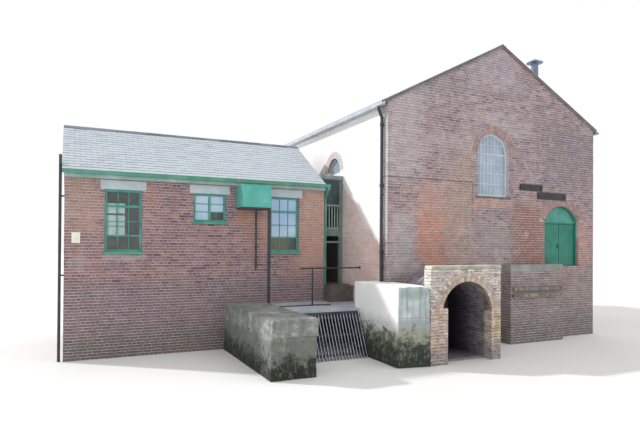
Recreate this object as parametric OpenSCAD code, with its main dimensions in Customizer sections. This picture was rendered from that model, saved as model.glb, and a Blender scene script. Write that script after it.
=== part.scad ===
// Drainage pumping station: a tall brick engine house and a lower brick pump house,
// joined by a narrow timber link, with a concrete intake and a brick culvert portal in front.
// X runs to the right along the fronts, Y runs back into the houses, Z is up.
// Z = 0 is the water line, the lowest level that any wall reaches.

/* [Site] */
// Height of the ground at the pump house above the water line
ground_h = 1750; // [1650:10:1850]
// Distance that the engine house stands forward of the pump house
engine_forward = 2400; // [2300:10:2450]
// Width of the gap between the two houses, filled by the timber link
link_w = 780; // [740:10:900]
// Clearance round curved pieces that sit in curved seats
arch_fit = 0.3; // [0.2:0.1:0.5]
// Bedding gap below a roof, a ridge, the flue and beside the hood
bed = 0.3; // [0.2:0.1:0.5]

/* [Pump house] */
// Length of the pump house along its front
pump_len = 7250; // [7150:10:7400]
// Depth of the pump house from front to back
pump_dep = 4400; // [4200:10:4800]
// Thickness of the pump house walls
pump_wall = 230; // [215:5:300]
// Height of the wall at the eaves above the ground
pump_eaves = 3070; // [3050:5:3100]
// Slope of the pump house roof in degrees
pump_pitch = 33.5; // [31:0.5:36]
// How far the pump house roof reaches out over its front and back walls
pump_over = 120; // [100:5:150]
// How far the pump house roof reaches past its left gable
pump_verge = 60; // [40:5:90]
// Height of the pump house floor above the ground
pump_floor_up = 60; // [30:5:120]
// Thickness of the pump house floor
pump_floor_t = 150; // [100:10:200]

/* [Roofs] */
// Thickness of the slates with the boarding below them
roof_t = 80; // [60:5:100]
// Width of each side of a ridge tile
ridge_w = 170; // [140:5:220]
// Thickness of a ridge tile
ridge_t = 22; // [16:1:30]
// Height of a gutter
gutter_h = 100; // [80:5:120]
// Width of a gutter
gutter_w = 110; // [90:5:130]
// Thickness of the gutter metal
gutter_t = 8; // [5:1:12]
// Radius of the downpipes
downpipe_r = 45; // [35:1:50]
// How far the collars at the bends of a downpipe stand out
collar = 5; // [3:1:8]
// Gap between a downpipe and the wall behind it
pipe_off = 25; // [20:1:30]
// Straight length of a downpipe right below its gutter
outlet_drop = 60; // [55:1:80]
// Depth of the lower bend of a downpipe below its gutter
swan_drop = 300; // [270:5:340]
// Width of a pipe bracket
bracket_w = 30; // [24:1:40]
// Height of a pipe bracket
bracket_h = 40; // [30:1:60]
// Height of the first bracket over the foot of a pipe
bracket_low = 400; // [300:10:600]
// Height of the second bracket over the foot of a pipe
bracket_high = 2400; // [1900:10:2450]
// Height of the eaves board on the pump house
fascia_h = 90; // [70:5:110]
// Thickness of the eaves board on the pump house
fascia_t = 25; // [18:1:32]

/* [Pump house windows] */
// Width of a pump house window opening
win_w = 920; // [860:10:980]
// Height of the heads of the pump house windows above the ground
win_head = 2645; // [2600:5:2660]
// Height of the bottom of a tall window above the ground
win_low = 950; // [900:10:1100]
// Height of the bottom of the short middle window above the ground
win_mid_low = 1790; // [1700:10:1900]
// Left edge of the first window from the left gable
win_a_x = 945; // [900:5:1000]
// How far the middle window stands right of the middle between the other two
win_b_off = 15; // [-40:5:60]
// Distance of the third window from the right gable
win_c_in = 845; // [780:5:900]
// Height of the concrete lintels
lintel_h = 235; // [200:5:250]
// Length of a lintel that rests on the wall at each end
lintel_bear = 105; // [90:5:150]
// Height of a window sill
sill_h = 60; // [50:5:80]
// How far a window sill stands out from the wall
sill_out = 50; // [30:5:80]
// Length of a sill past each side of its window
sill_ear = 50; // [30:5:80]
// Width of the timber of a window frame
frame_w = 60; // [50:5:75]
// Depth of the timber of a window frame
frame_d = 70; // [60:5:90]
// Depth of the wall face in front of a window frame
win_reveal = 60; // [40:5:80]
// Thickness of the window glass
glass_t = 6; // [4:1:10]
// Height of the thick rail below the top row of panes, above the ground
win_rail_z = 2180; // [2120:5:2240]

/* [Pump house fittings] */
// Distance of the green hood from the right gable
hood_in = 1960; // [1950:5:2000]
// Width of the green hood
hood_w = 840; // [800:5:860]
// How far the hood stands out from the wall
hood_out = 620; // [560:10:680]
// Height of the bottom of the hood above the ground
hood_low = 2270; // [2200:5:2300]
// Thickness of the hood boards
hood_t = 22; // [15:1:30]
// Distance of the thin pipe from the right end of the hood
thin_pipe_in = 250; // [200:5:300]
// Radius of the thin pipe on the wall
thin_pipe_r = 22; // [16:1:28]
// Height of the lower end of the thin pipe above the ground
thin_pipe_low = 480; // [400:10:560]
// Radius of the dark pipe on the left gable
gable_pipe_r = 36; // [30:1:42]
// Height of the top of the gable pipe above the ground
gable_pipe_top = 3470; // [3400:10:3550]
// Left edge of the plaque from the left gable
plaque_x = 170; // [150:5:200]
// Width of the plaque
plaque_w = 200; // [180:5:220]
// Height of the bottom of the plaque above the ground
plaque_low = 1235; // [1200:5:1270]
// Height of the plaque
plaque_h = 275; // [250:5:300]
// Thickness of the plaque
plaque_t = 12; // [8:1:16]
// Distance of the pump house doorway from the front of the pump house
pump_door_y = 1900; // [1850:10:2000]
// Width of the pump house doorway
pump_door_w = 860; // [800:10:900]
// Height of the pump house doorway above the ground
pump_door_h = 2050; // [2000:10:2100]

/* [Engine house] */
// Length of the engine house front
engine_len = 8310; // [8250:10:8500]
// Depth of the engine house from front to back
engine_dep = 12000; // [11500:100:12500]
// Thickness of the engine house walls
engine_wall = 340; // [320:5:380]
// Height of the engine house wall at the eaves above the pump house ground
engine_eaves = 5200; // [5150:5:5250]
// Slope of the engine house roof in degrees
engine_pitch = 27.5; // [26:0.5:29]
// How far the engine house roof reaches out over its side walls
engine_over = 120; // [110:5:150]
// How far the engine house roof reaches past its gables
engine_verge = 40; // [25:5:60]
// How far the top brick courses stand out below the eaves
eaves_step = 35; // [25:5:50]
// Height of those brick courses
eaves_step_h = 150; // [120:5:180]
// Height of the engine house floor above the pump house ground
engine_floor_up = 580; // [540:10:600]
// Thickness of the engine house floor
engine_floor_t = 180; // [150:10:220]

/* [Engine house windows] */
// How far the middle of the arched gable window stands left of the ridge
gable_win_off = 329; // [250:1:400]
// Width of the arched gable window
gable_win_w = 1242; // [1180:2:1300]
// Height of the bottom of the gable window above the pump house ground
gable_win_low = 2745; // [2700:5:2800]
// Height of the springing of the gable window above the pump house ground
gable_win_spring = 4052; // [4000:2:4100]
// Height of a brick arch ring over a window
ring_h = 230; // [215:5:240]
// Width of the half-round side windows
side_win_w = 880; // [820:10:940]
// Height of the bottom of the side windows above the pump house ground
side_win_low = 3560; // [3530:5:3600]
// Height of the springing of the side windows above the pump house ground
side_win_spring = 3650; // [3640:2:3680]
// Distance of each side window's middle from the nearer gable
side_win_in = 3290; // [3200:10:3400]

/* [Engine house door] */
// Distance of the doorway from the right corner of the engine house
door_in = 730; // [690:5:780]
// Width of the doorway
door_w = 1580; // [1540:5:1620]
// Height of the springing of the door arch above the pump house ground
door_spring = 2045; // [2020:5:2070]
// Rise of the door arch above its springing
door_rise = 515; // [480:5:540]
// Depth of the wall face in front of the door frame
door_reveal = 100; // [80:5:120]
// Width of the door frame timber
jamb_w = 60; // [50:5:75]
// Depth of the door frame timber
jamb_d = 75; // [65:5:90]
// Height of the transom above the leaves
transom_h = 70; // [60:5:85]
// Depth of the panel over the leaves behind the face of the frame
lunette_in = 20; // [15:1:25]
// Thickness of a door leaf
leaf_t = 45; // [40:1:50]
// Gap between a leaf and the frame beside it
leaf_gap = 8; // [6:1:10]
// Gap between the two leaves where they meet
meeting_gap = 14; // [12:1:18]
// Height of a ledge across the back of a leaf
ledger_h = 120; // [100:5:150]
// Thickness of a ledge across the back of a leaf
ledger_t = 25; // [20:1:32]
// Radius of the hinge pins
pin_r = 8; // [7:0.5:9]
// Clearance of a hinge eye round its pin
pin_fit = 0.3; // [0.2:0.05:0.4]
// Outer radius of a hinge eye
eye_r = 18; // [17:1:20]
// Height of a hinge eye and its strap
eye_h = 50; // [45:1:60]
// Distance of the hinge pins behind the leaf
hinge_back = 24; // [23:1:27]
// Length of a hinge strap
strap_len = 480; // [400:10:560]
// Thickness of the bracket that carries a hinge pin
pin_plate_t = 20; // [16:1:24]
// How far the ledges end short of a leaf's edges and ends
ledger_in = 70; // [60:1:80]
// Height of the lower hinge above the floor
hinge_low = 240; // [200:10:300]
// Height of the upper hinge above the floor
hinge_high = 1120; // [1050:10:1180]

/* [Engine house fittings] */
// Distance of the downpipes behind the front of the engine house
corner_in = 200; // [170:5:230]
// Thickness of the two plates on the front wall
plate_t = 20; // [12:1:30]
// Distance of the upper plate's left edge from the doorway's left edge
plate_a_in = 1095; // [1050:5:1140]
// Length of the upper plate
plate_a_len = 982; // [940:2:1020]
// Height of the bottom of the upper plate above the pump house ground
plate_a_low = 2995; // [2990:5:3040]
// Height of the upper plate
plate_a_h = 205; // [180:5:230]
// Distance of the lower plate's left edge from the doorway's left edge
plate_b_in = 335; // [290:5:380]
// Length of the lower plate
plate_b_len = 1302; // [1260:2:1340]
// Height of the bottom of the lower plate above the pump house ground
plate_b_low = 2740; // [2700:5:2740]
// Height of the lower plate
plate_b_h = 230; // [200:5:235]
// Distance of the flue from the right corner of the engine house
flue_in = 1790; // [1700:10:1900]
// Distance of the flue behind the front of the engine house
flue_back = 900; // [800:10:1100]
// Radius of the flue
flue_r = 120; // [100:5:140]
// Height of the top of the flue above the pump house ground
flue_top = 7500; // [7450:10:7600]
// Radius of the cap on the flue
cap_r = 275; // [250:5:300]
// Height of the cap on the flue
cap_h = 140; // [120:5:160]
// Radius of the flat top of the cap
cap_top_r = 20; // [15:1:30]
// Gap between the top of the flue and its cap
cap_gap = 40; // [30:2:60]
// Thickness of the flue metal
flue_t = 6; // [4:1:8]
// Thickness of the stays that carry the cap
stay_t = 12; // [9:1:14]
// Distance of the step ledge's left edge from the doorway's left edge
ledge_in = 1830; // [1750:10:1900]
// Length of the step ledge
ledge_len = 2230; // [2150:10:2300]
// How far the ledge stands out from the wall
ledge_out = 380; // [340:10:420]
// Height of the top of the ledge above the pump house ground
ledge_top = 660; // [640:10:700]
// Thickness of the concrete slab on the ledge
ledge_slab_t = 210; // [180:10:240]
// Thickness of the timber walings on the ledge
waling_t = 80; // [60:5:100]
// Height of the timber walings on the ledge
waling_h = 100; // [80:5:120]
// Height of the bottom of the lower waling below the pump house ground
waling_down = 330; // [300:5:360]
// Distance from the bottom of one waling to the bottom of the next
waling_pitch = 200; // [160:5:240]
// How far the walings end short of the ledge at each side
waling_in = 60; // [40:5:90]

/* [Link] */
// Distance of the front of the link behind the front of the pump house
link_in = 250; // [220:10:300]
// Depth of the link
link_dep = 1400; // [1300:10:1500]
// Width of the left post of the link
post_left_w = 80; // [70:5:100]
// Width of the right post of the link
post_right_w = 120; // [100:5:140]
// Depth of the link posts
post_d = 100; // [80:5:120]
// Height of the low rail over the passage above the ground
low_rail_z = 1290; // [1250:10:1320]
// Height of the low rail itself
low_rail_h = 60; // [50:5:80]
// Height of the underside of the walkway beam above the ground
walk_low = 1510; // [1480:10:1540]
// Height of the walkway beam
walk_h = 230; // [200:5:260]
// Height of the balustrade above the walkway
rail_h = 770; // [720:10:820]
// Number of slats in the balustrade
slat_count = 6; // [5:1:7]
// Width of a slat
slat_w = 36; // [30:1:42]
// Height of the underside of the link roof above the ground
link_roof_z = 3310; // [3290:5:3340]
// Thickness of the link roof
link_roof_t = 120; // [100:5:140]
// How far the link roof stands out in front of its posts
link_roof_out = 40; // [30:5:60]
// Thickness of the link boards
board_t = 30; // [25:1:40]
// Thickness of the balustrade rails
baluster_rail = 45; // [40:1:50]
// Depth of the balustrade behind the face of the posts
baluster_in = 20; // [15:1:25]
// Thickness of the landing slab between the houses
landing_t = 120; // [100:10:150]
// Distance that the landing reaches back from the front of the pump house
landing_back = 2900; // [2850:10:3000]

/* [Intake] */
// Width of the intake wall beside the engine house
wing_w = 700; // [680:5:730]
// Width of the intake channel
channel_w = 2130; // [2100:5:2180]
// Width of the left abutment
abut_w = 1100; // [1000:10:1150]
// How far the left abutment reaches in front of the pump house
abut_out = 4000; // [3900:10:4050]
// Height of the left abutment below the ground
abut_down = 420; // [400:5:440]
// Height of the upper block of the abutment
abut_cap_h = 380; // [340:10:420]
// How far the upper block of the abutment stands out
abut_cap_out = 60; // [40:5:90]
// How far the right intake wall reaches in front of the pump house
wing_out = 4000; // [3900:10:4050]
// Distance of the back of the right intake wall in front of the pump house
wing_back = 1850; // [1800:10:1900]
// Height of the right intake wall above the ground
wing_up = 220; // [200:5:240]
// Depth of the deck surface below the ground
deck_down = 500; // [480:5:520]
// Thickness of the deck slab
deck_t = 130; // [110:5:150]
// How far the deck reaches in front of the pump house
deck_out = 2100; // [2050:10:2150]
// Distance of the low wall's front face in front of the pump house
low_wall_out = 500; // [480:10:550]
// Thickness of the low wall
low_wall_t = 230; // [215:5:250]
// Depth of the top of the low wall below the ground
low_wall_down = 20; // [10:2:30]
// Thickness of the coping on the low wall
low_cope_t = 60; // [50:5:80]
// How far the coping stands out from the low wall
low_cope_out = 20; // [10:1:30]
// Number of bars in the trash screen
bar_count = 23; // [20:1:24]
// Thickness of a screen bar
bar_t = 14; // [10:1:18]
// Depth of a screen bar
bar_d = 60; // [50:5:70]
// How far the foot of the screen stands out past its head
screen_rake = 520; // [480:10:560]
// Size of the cross beams behind the screen
cross_d = 60; // [50:5:70]
// Places of the cross beams up the screen, as shares of its height
cross_low_share = 0.08; // [0.05:0.01:0.12]
cross_mid_share = 0.5; // [0.45:0.01:0.55]
cross_high_share = 0.9; // [0.86:0.01:0.92]
// Radius of the handrail tube
rail_r = 21; // [18:1:25]
// Thickness of the flanges of the handrail
rail_flange_t = 8; // [6:1:12]
// Height of the handrail above the ground
rail_z = 550; // [530:10:600]
// Distance of the handrail in front of the pump house
rail_out = 900; // [850:10:950]
// Length of the handrail from the engine house
rail_len = 1960; // [1900:10:2000]
// Distance of the handrail post from the engine house
rail_post_in = 1570; // [1500:10:1630]

/* [Culvert portal] */
// Distance of the portal's left side from the left corner of the engine house
portal_x = 160; // [150:5:200]
// Width of the portal wall
portal_w = 2270; // [2200:10:2350]
// How far the portal stands out in front of the engine house
portal_out = 1750; // [1720:10:1800]
// Thickness of the portal wall
portal_t = 280; // [260:5:320]
// Height of the portal above the ground, coping included
portal_up = 730; // [700:10:780]
// Thickness of the portal coping
cope_t = 100; // [80:5:120]
// How far the portal coping stands out in front
cope_out = 30; // [20:5:45]
// Distance of the arch middle from the portal's left side
arch_in = 1160; // [1140:5:1180]
// Radius of the culvert arch
arch_r = 800; // [780:5:820]
// Depth of the culvert's springing below the ground
arch_down = 480; // [460:5:500]
// Radial height of the portal's ring of voussoirs
voussoir_h = 230; // [215:5:240]
// Thickness of the culvert barrel
barrel_t = 220; // [200:5:225]
// How far the left pier stands into the mouth past the arch
pier_in = 167; // [150:1:180]
// Height of the pier above the springing
pier_up = 134; // [120:2:150]
// Thickness of the culvert floor
invert_t = 60; // [40:5:80]

/* [Hidden] */
$fn = 180;
// How far a cut reaches past its piece, and joined solids into each other
past = 1;

engine_x = pump_len + link_w;
engine_front = -engine_forward;
engine_back = engine_front + engine_dep;
pump_rise = tan(pump_pitch);
engine_rise = tan(engine_pitch);
pump_roof_v = roof_t / cos(pump_pitch);
engine_roof_v = roof_t / cos(engine_pitch);
// Gap under a hinge eye, and beside the vent pipe where it passes the roof edge
rest_gap = 0.3;
gable_pipe_x = -(pump_verge + gable_pipe_r + rest_gap);
site_left = min(gable_pipe_x - gable_pipe_r, -pump_verge);
site_right = engine_x + engine_len + engine_over + gutter_w;
site_front = min(engine_front - portal_out - cope_out, -abut_out, -wing_out);
site_back = engine_back + engine_verge;
mid_x = (site_left + site_right) / 2;
mid_y = (site_front + site_back) / 2;

// Heights of the roof undersides over the wall faces, measured in from the eaves
function pump_under(in) = ground_h + pump_eaves + in * pump_rise;
function engine_under(in) = ground_h + engine_eaves + in * engine_rise;
// Underside of the engine house roof at a distance from its left corner
function engine_under_at(x) = engine_under(min(x, engine_len - x));

floor_z = ground_h + engine_floor_up;
deck_z = ground_h - deck_down;
portal_left = engine_x + portal_x;
portal_front = engine_front - portal_out;
arch_x = portal_left + arch_in;
arch_z = ground_h - arch_down;
pier_top = arch_z + pier_up;
pier_right = arch_x - arch_r + pier_in;
channel_right = engine_x - wing_w;
channel_x = channel_right - channel_w;

// Places along the pump house front, from its left gable
win_c_x = pump_len - win_c_in - win_w;
win_b_x = (win_a_x + win_c_x) / 2 + win_b_off;
hood_x = pump_len - hood_in - hood_w;
thin_pipe_x = hood_x + hood_w - thin_pipe_in;
// Places along the engine house front, from its left corner
door_x = engine_len - door_in - door_w;
plate_a_x = door_x - plate_a_in;
plate_b_x = door_x - plate_b_in;
ledge_x = door_x - ledge_in;
// Places along the handrail
rail_x = engine_x - rail_len;
rail_post_x = engine_x - rail_post_in;

// Round and flat arches: radius and centre height from width, springing and rise
function arc_r(w, rise) = (w * w / 4 + rise * rise) / (2 * rise);
gable_r = gable_win_w / 2;
side_r = side_win_w / 2;
door_r = arc_r(door_w, door_rise);
door_cx = engine_x + door_x + door_w / 2;
door_cz = ground_h + door_spring + door_rise - door_r;
gable_cx = engine_x + engine_len / 2 - gable_win_off;
side_ys = [engine_front + side_win_in, engine_back - side_win_in];

// Door leaves: the leaf's back face lies level with the back of the frame
frame_front = engine_front + door_reveal;
frame_back = frame_front + jamb_d;
leaf_back = frame_back;
transom_top = ground_h + door_spring;
leaf_low = floor_z + leaf_gap;
leaf_top = transom_top - transom_h - leaf_gap;
leaf_w = (door_w - 2 * jamb_w - 2 * leaf_gap - meeting_gap) / 2;
pin_in = door_w / 2 - jamb_w - leaf_gap;
pin_y = leaf_back + hinge_back;

// The whole station is centred over its footprint
module site() {
  translate([-mid_x, -mid_y, 0]) children();
}

// Block between two corners
module block(x0, x1, y0, y1, z0, z1) {
  translate([x0, y0, z0]) cube([x1 - x0, y1 - y0, z1 - z0]);
}

// Profile in X and Z, carried along Y
module along_y(points, y0, y1) {
  translate([0, y1, 0]) rotate([90, 0, 0]) linear_extrude(y1 - y0) polygon(points);
}

// Profile in Y and Z, carried along X
module along_x(points, x0, x1) {
  translate([x0, 0, 0]) rotate([90, 0, 90]) linear_extrude(x1 - x0) polygon(points);
}

// Round bar along Y or X
module round_y(r, x, z, y0, y1) {
  translate([x, y1, z]) rotate([90, 0, 0]) cylinder(r = r, h = y1 - y0);
}

module round_x(r, y, z, x0, x1) {
  translate([x0, y, z]) rotate([0, 90, 0]) cylinder(r = r, h = x1 - x0);
}

// Arched block seen from the front: straight sides up to the springing, an arc above
module arched_y(cx, half, z0, spring, r, cz, y0, y1) {
  block(cx - half, cx + half, y0, y1, z0, spring);
  intersection() {
    block(cx - half, cx + half, y0, y1, spring, cz + r + past);
    round_y(r, cx, cz, y0, y1);
  }
}

// The same block seen from the side
module arched_x(cy, half, z0, spring, x0, x1) {
  block(x0, x1, cy - half, cy + half, z0, spring);
  intersection() {
    block(x0, x1, cy - half, cy + half, spring, spring + half + past);
    round_x(half, cy, spring, x0, x1);
  }
}

// Half ring of brick over an arched opening, standing on its springing
module ring_y(cx, r, cz, ring, spring, y0, y1) {
  difference() {
    intersection() {
      block(cx - r - ring, cx + r + ring, y0, y1, spring, cz + r + ring + past);
      round_y(r + ring, cx, cz, y0, y1);
    }
    round_y(r, cx, cz, y0 - past, y1 + past);
  }
}

module ring_x(cy, r, ring, spring, x0, x1) {
  difference() {
    intersection() {
      block(x0, x1, cy - r - ring, cy + r + ring, spring, spring + r + ring + past);
      round_x(r + ring, cy, spring, x0, x1);
    }
    round_x(r, cy, spring, x0 - past, x1 + past);
  }
}

// Round pipe between two points
module pipe(a, b, r) {
  d = b - a;
  flat = sqrt(d[0] * d[0] + d[1] * d[1]);
  translate(a)
    rotate([0, atan2(flat, d[2]), atan2(d[1], d[0])])
      cylinder(r = r, h = norm(d));
}

// Gutter trough: a U shape carried along one direction, its mouth upwards
function trough(inner, z, way) = [
  [inner, z], [inner + way * gutter_w, z],
  [inner + way * gutter_w, z + gutter_h], [inner + way * (gutter_w - gutter_t), z + gutter_h],
  [inner + way * (gutter_w - gutter_t), z + gutter_t], [inner + way * gutter_t, z + gutter_t],
  [inner + way * gutter_t, z + gutter_h], [inner, z + gutter_h]
];

// Openings in the pump house: left edge and bottom height of each window
front_windows = [[win_a_x, win_low], [win_b_x, win_mid_low], [win_c_x, win_low]];
back_windows = [[win_a_x, win_low], [win_c_x, win_low]];
win_top = ground_h + win_head;

module window_hole(x, low, y0, y1) {
  block(x, x + win_w, y0, y1, ground_h + low, win_top);
}

module lintel_block(x, y0, y1) {
  block(x - lintel_bear, x + win_w + lintel_bear, y0, y1, win_top, win_top + lintel_h);
}

// Sill: inside the opening it fills the bottom, outside it has an ear at each side
module sill_block(x, low, face, way) {
  z0 = ground_h + low;
  inner = face + way * (win_reveal + frame_d);
  outer = face - way * sill_out;
  block(x, x + win_w, min(face, inner), max(face, inner), z0, z0 + sill_h);
  block(x - sill_ear, x + win_w + sill_ear, min(face, outer), max(face, outer), z0, z0 + sill_h);
}

// Timber frame in the opening, with the thick rail or the middle post that the window has
module window_frame(x, low, y0, y1) {
  z0 = ground_h + low + sill_h;
  difference() {
    block(x, x + win_w, y0, y1, z0, win_top);
    block(x + frame_w, x + win_w - frame_w, y0 - past, y1 + past, z0 + frame_w, win_top - frame_w);
  }
  if (low == win_mid_low)
    block(x + win_w / 2 - frame_w / 2, x + win_w / 2 + frame_w / 2, y0, y1, z0 + past, win_top - past);
  else
    block(x + past, x + win_w - past, y0, y1, ground_h + win_rail_z, ground_h + win_rail_z + frame_w);
}

// Panes fill what the frame leaves open
module window_panes(x, low, mid_y) {
  z0 = ground_h + low + sill_h + frame_w;
  z1 = win_top - frame_w;
  y0 = mid_y - glass_t / 2;
  rail = ground_h + win_rail_z;
  post = x + win_w / 2;
  if (low == win_mid_low) {
    block(x + frame_w, post - frame_w / 2, y0, y0 + glass_t, z0, z1);
    block(post + frame_w / 2, x + win_w - frame_w, y0, y0 + glass_t, z0, z1);
  } else {
    block(x + frame_w, x + win_w - frame_w, y0, y0 + glass_t, z0, rail);
    block(x + frame_w, x + win_w - frame_w, y0, y0 + glass_t, rail + frame_w, z1);
  }
}

module pump_long_wall(holes, outer, inner) {
  y0 = min(outer, inner);
  y1 = max(outer, inner);
  difference() {
    along_x([
      [outer, 0], [inner, 0], [inner, pump_under(pump_wall)], [outer, pump_under(0)]
    ], pump_wall, pump_len - pump_wall);
    for (h = holes) {
      window_hole(h[0], h[1], y0 - past, y1 + past);
      lintel_block(h[0], y0 - past, y1 + past);
    }
  }
}

module pump_front_wall() {
  color("sienna") site() pump_long_wall(front_windows, 0, pump_wall);
}

module pump_back_wall() {
  color("sienna") site() pump_long_wall(back_windows, pump_dep, pump_dep - pump_wall);
}

module gable_profile(x0, x1) {
  along_x([
    [0, 0], [pump_dep, 0], [pump_dep, pump_under(0)],
    [pump_dep / 2, pump_under(pump_dep / 2)], [0, pump_under(0)]
  ], x0, x1);
}

module pump_left_gable() {
  color("sienna") site() gable_profile(0, pump_wall);
}

module pump_door_hole(x0, x1) {
  block(x0, x1, pump_door_y, pump_door_y + pump_door_w,
    ground_h + pump_floor_up, ground_h + pump_door_h);
}

module pump_door_lintel(x0, x1) {
  block(x0, x1, pump_door_y - lintel_bear, pump_door_y + pump_door_w + lintel_bear,
    ground_h + pump_door_h, ground_h + pump_door_h + lintel_h);
}

module pump_right_gable() {
  color("sienna") site() difference() {
    gable_profile(pump_len - pump_wall, pump_len);
    pump_door_hole(pump_len - pump_wall - past, pump_len + past);
    pump_door_lintel(pump_len - pump_wall - past, pump_len + past);
  }
}

module pump_floor() {
  top = ground_h + pump_floor_up;
  color("gray") site()
    block(pump_wall, pump_len - pump_wall, pump_wall, pump_dep - pump_wall, top - pump_floor_t, top);
}

// One slope of the pump house roof, cut plumb at the eaves and at the ridge
module pump_slope(eave, ridge) {
  low = pump_under(-pump_over) + bed;
  high = pump_under(pump_dep / 2) + bed;
  along_x([
    [eave, low], [ridge, high], [ridge, high + pump_roof_v], [eave, low + pump_roof_v]
  ], -pump_verge, pump_len);
}

module pump_roof_front() {
  color("slategray") site() pump_slope(-pump_over, pump_dep / 2);
}

module pump_roof_back() {
  color("slategray") site() pump_slope(pump_dep + pump_over, pump_dep / 2);
}

// Angled ridge tile that rests on both slopes
function ridge_points(mid, top, rise, v) = [
  [mid - ridge_w, top - ridge_w * rise], [mid, top], [mid + ridge_w, top - ridge_w * rise],
  [mid + ridge_w, top - ridge_w * rise + v], [mid, top + v], [mid - ridge_w, top - ridge_w * rise + v]
];

module pump_ridge() {
  top = pump_under(pump_dep / 2) + pump_roof_v + 2 * bed;
  color("slategray") site()
    along_x(ridge_points(pump_dep / 2, top, pump_rise, ridge_t / cos(pump_pitch)),
      -pump_verge, pump_len);
}

// Eaves board with its soffit, below the roof edge
module eaves_board(wall, way) {
  low = pump_under(-pump_over) - fascia_h;
  inner = pump_over - fascia_t;
  along_x([
    [wall, low], [wall, low + fascia_t], [wall - way * inner, low + fascia_t],
    [wall - way * inner, pump_under(-inner)], [wall - way * pump_over, pump_under(-pump_over)],
    [wall - way * pump_over, low]
  ], 0, pump_len);
}

soffit_z = pump_under(-pump_over) - fascia_h;
hood_top = soffit_z - bed;

module pump_fascia() {
  color("seagreen") site() {
    eaves_board(0, 1);
    eaves_board(pump_dep, -1);
  }
}

pump_gutter_z = pump_under(-pump_over);
corner_pipe_x = pump_len + pipe_off + downpipe_r;

module pump_gutters() {
  right = corner_pipe_x + downpipe_r;
  color("darkgreen") site() {
    along_x(trough(-pump_over, pump_gutter_z, -1), -pump_verge, right);
    along_x(trough(pump_dep + pump_over, pump_gutter_z, 1), -pump_verge, right);
  }
}

// Downpipe from the gutter, back under the eaves and down the right gable's corner
module corner_pipe(out_y, wall_y, foot) {
  outlet = pump_gutter_z - outlet_drop;
  bend = pump_gutter_z - swan_drop;
  z = foot + bracket_high;
  pipe([corner_pipe_x, out_y, pump_gutter_z], [corner_pipe_x, out_y, outlet], downpipe_r);
  translate([corner_pipe_x, out_y, outlet]) sphere(downpipe_r + collar);
  pipe([corner_pipe_x, out_y, outlet], [corner_pipe_x, wall_y, bend], downpipe_r);
  translate([corner_pipe_x, wall_y, bend]) sphere(downpipe_r + collar);
  pipe([corner_pipe_x, wall_y, bend], [corner_pipe_x, wall_y, foot], downpipe_r);
  block(pump_len, corner_pipe_x, wall_y - bracket_w / 2, wall_y + bracket_w / 2, z, z + bracket_h);
}

module pump_downpipes() {
  out = pump_over + gutter_w / 2;
  color("seagreen") site() {
    corner_pipe(-out, downpipe_r + pipe_off, ground_h);
    corner_pipe(pump_dep + out, pump_dep - downpipe_r - pipe_off, ground_h);
  }
}

module pump_windows() {
  color("seagreen") site() {
    for (h = front_windows) window_frame(h[0], h[1], win_reveal, win_reveal + frame_d);
    for (h = back_windows)
      window_frame(h[0], h[1], pump_dep - win_reveal - frame_d, pump_dep - win_reveal);
  }
}

module pump_glass() {
  middle = win_reveal + frame_d / 2;
  color("lightblue") site() {
    for (h = front_windows) window_panes(h[0], h[1], middle);
    for (h = back_windows) window_panes(h[0], h[1], pump_dep - middle);
  }
}

module pump_lintels() {
  color("lightgray") site() {
    for (h = front_windows) lintel_block(h[0], 0, pump_wall);
    for (h = back_windows) lintel_block(h[0], pump_dep - pump_wall, pump_dep);
    pump_door_lintel(pump_len - pump_wall, pump_len);
  }
}

module pump_sills() {
  color("seagreen") site() {
    for (h = front_windows) sill_block(h[0], h[1], 0, 1);
    for (h = back_windows) sill_block(h[0], h[1], pump_dep, -1);
  }
}

// Weather hood: open at the bottom and against the wall
module hood() {
  z0 = ground_h + hood_low;
  color("mediumseagreen") site() difference() {
    block(hood_x, hood_x + hood_w, -hood_out, 0, z0, hood_top);
    block(hood_x + hood_t, hood_x + hood_w - hood_t, -hood_out + hood_t, past, z0 - past, hood_top - hood_t);
  }
}

// Thin pipe out of the hood, the hood's post, and the vent pipe up the left gable
module wall_pipes() {
  post_x = hood_x + hood_w - downpipe_r;
  post_y = -hood_out + downpipe_r;
  thin_z = ground_h + thin_pipe_low;
  gable_y = gable_pipe_r + pipe_off;
  color("dimgray") site() {
    pipe([post_x, post_y, deck_z], [post_x, post_y, ground_h + hood_low], downpipe_r);
    pipe([thin_pipe_x, -thin_pipe_r, thin_z], [thin_pipe_x, -thin_pipe_r, hood_top - hood_t], thin_pipe_r);
    pipe([gable_pipe_x, gable_y, 0], [gable_pipe_x, gable_y, ground_h + gable_pipe_top], gable_pipe_r);
    for (z = [ground_h + bracket_low, ground_h + bracket_high])
      block(gable_pipe_x, 0, gable_y - bracket_w / 2, gable_y + bracket_w / 2, z, z + bracket_h);
  }
}

module plaque() {
  z = ground_h + plaque_low;
  color("wheat") site() block(plaque_x, plaque_x + plaque_w, -plaque_t, 0, z, z + plaque_h);
}

// Front wall of the engine house between two distances from its left corner
module engine_face(from, to, low, y0, y1) {
  ridge = engine_len / 2;
  top = (from < ridge && ridge < to)
    ? [[to, engine_under_at(to)], [ridge, engine_under_at(ridge)], [from, engine_under_at(from)]]
    : [[to, engine_under_at(to)], [from, engine_under_at(from)]];
  translate([engine_x, 0, 0]) along_y(concat([[from, low], [to, low]], top), y0, y1);
}

module gable_window_seat(y0, y1) {
  spring = ground_h + gable_win_spring;
  arched_y(gable_cx, gable_r, ground_h + gable_win_low, spring, gable_r, spring, y0, y1);
  intersection() {
    round_y(gable_r + ring_h, gable_cx, spring, y0, y1);
    block(gable_cx - 2 * gable_win_w, gable_cx + 2 * gable_win_w, y0, y1, spring, spring + gable_win_w);
  }
}

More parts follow.
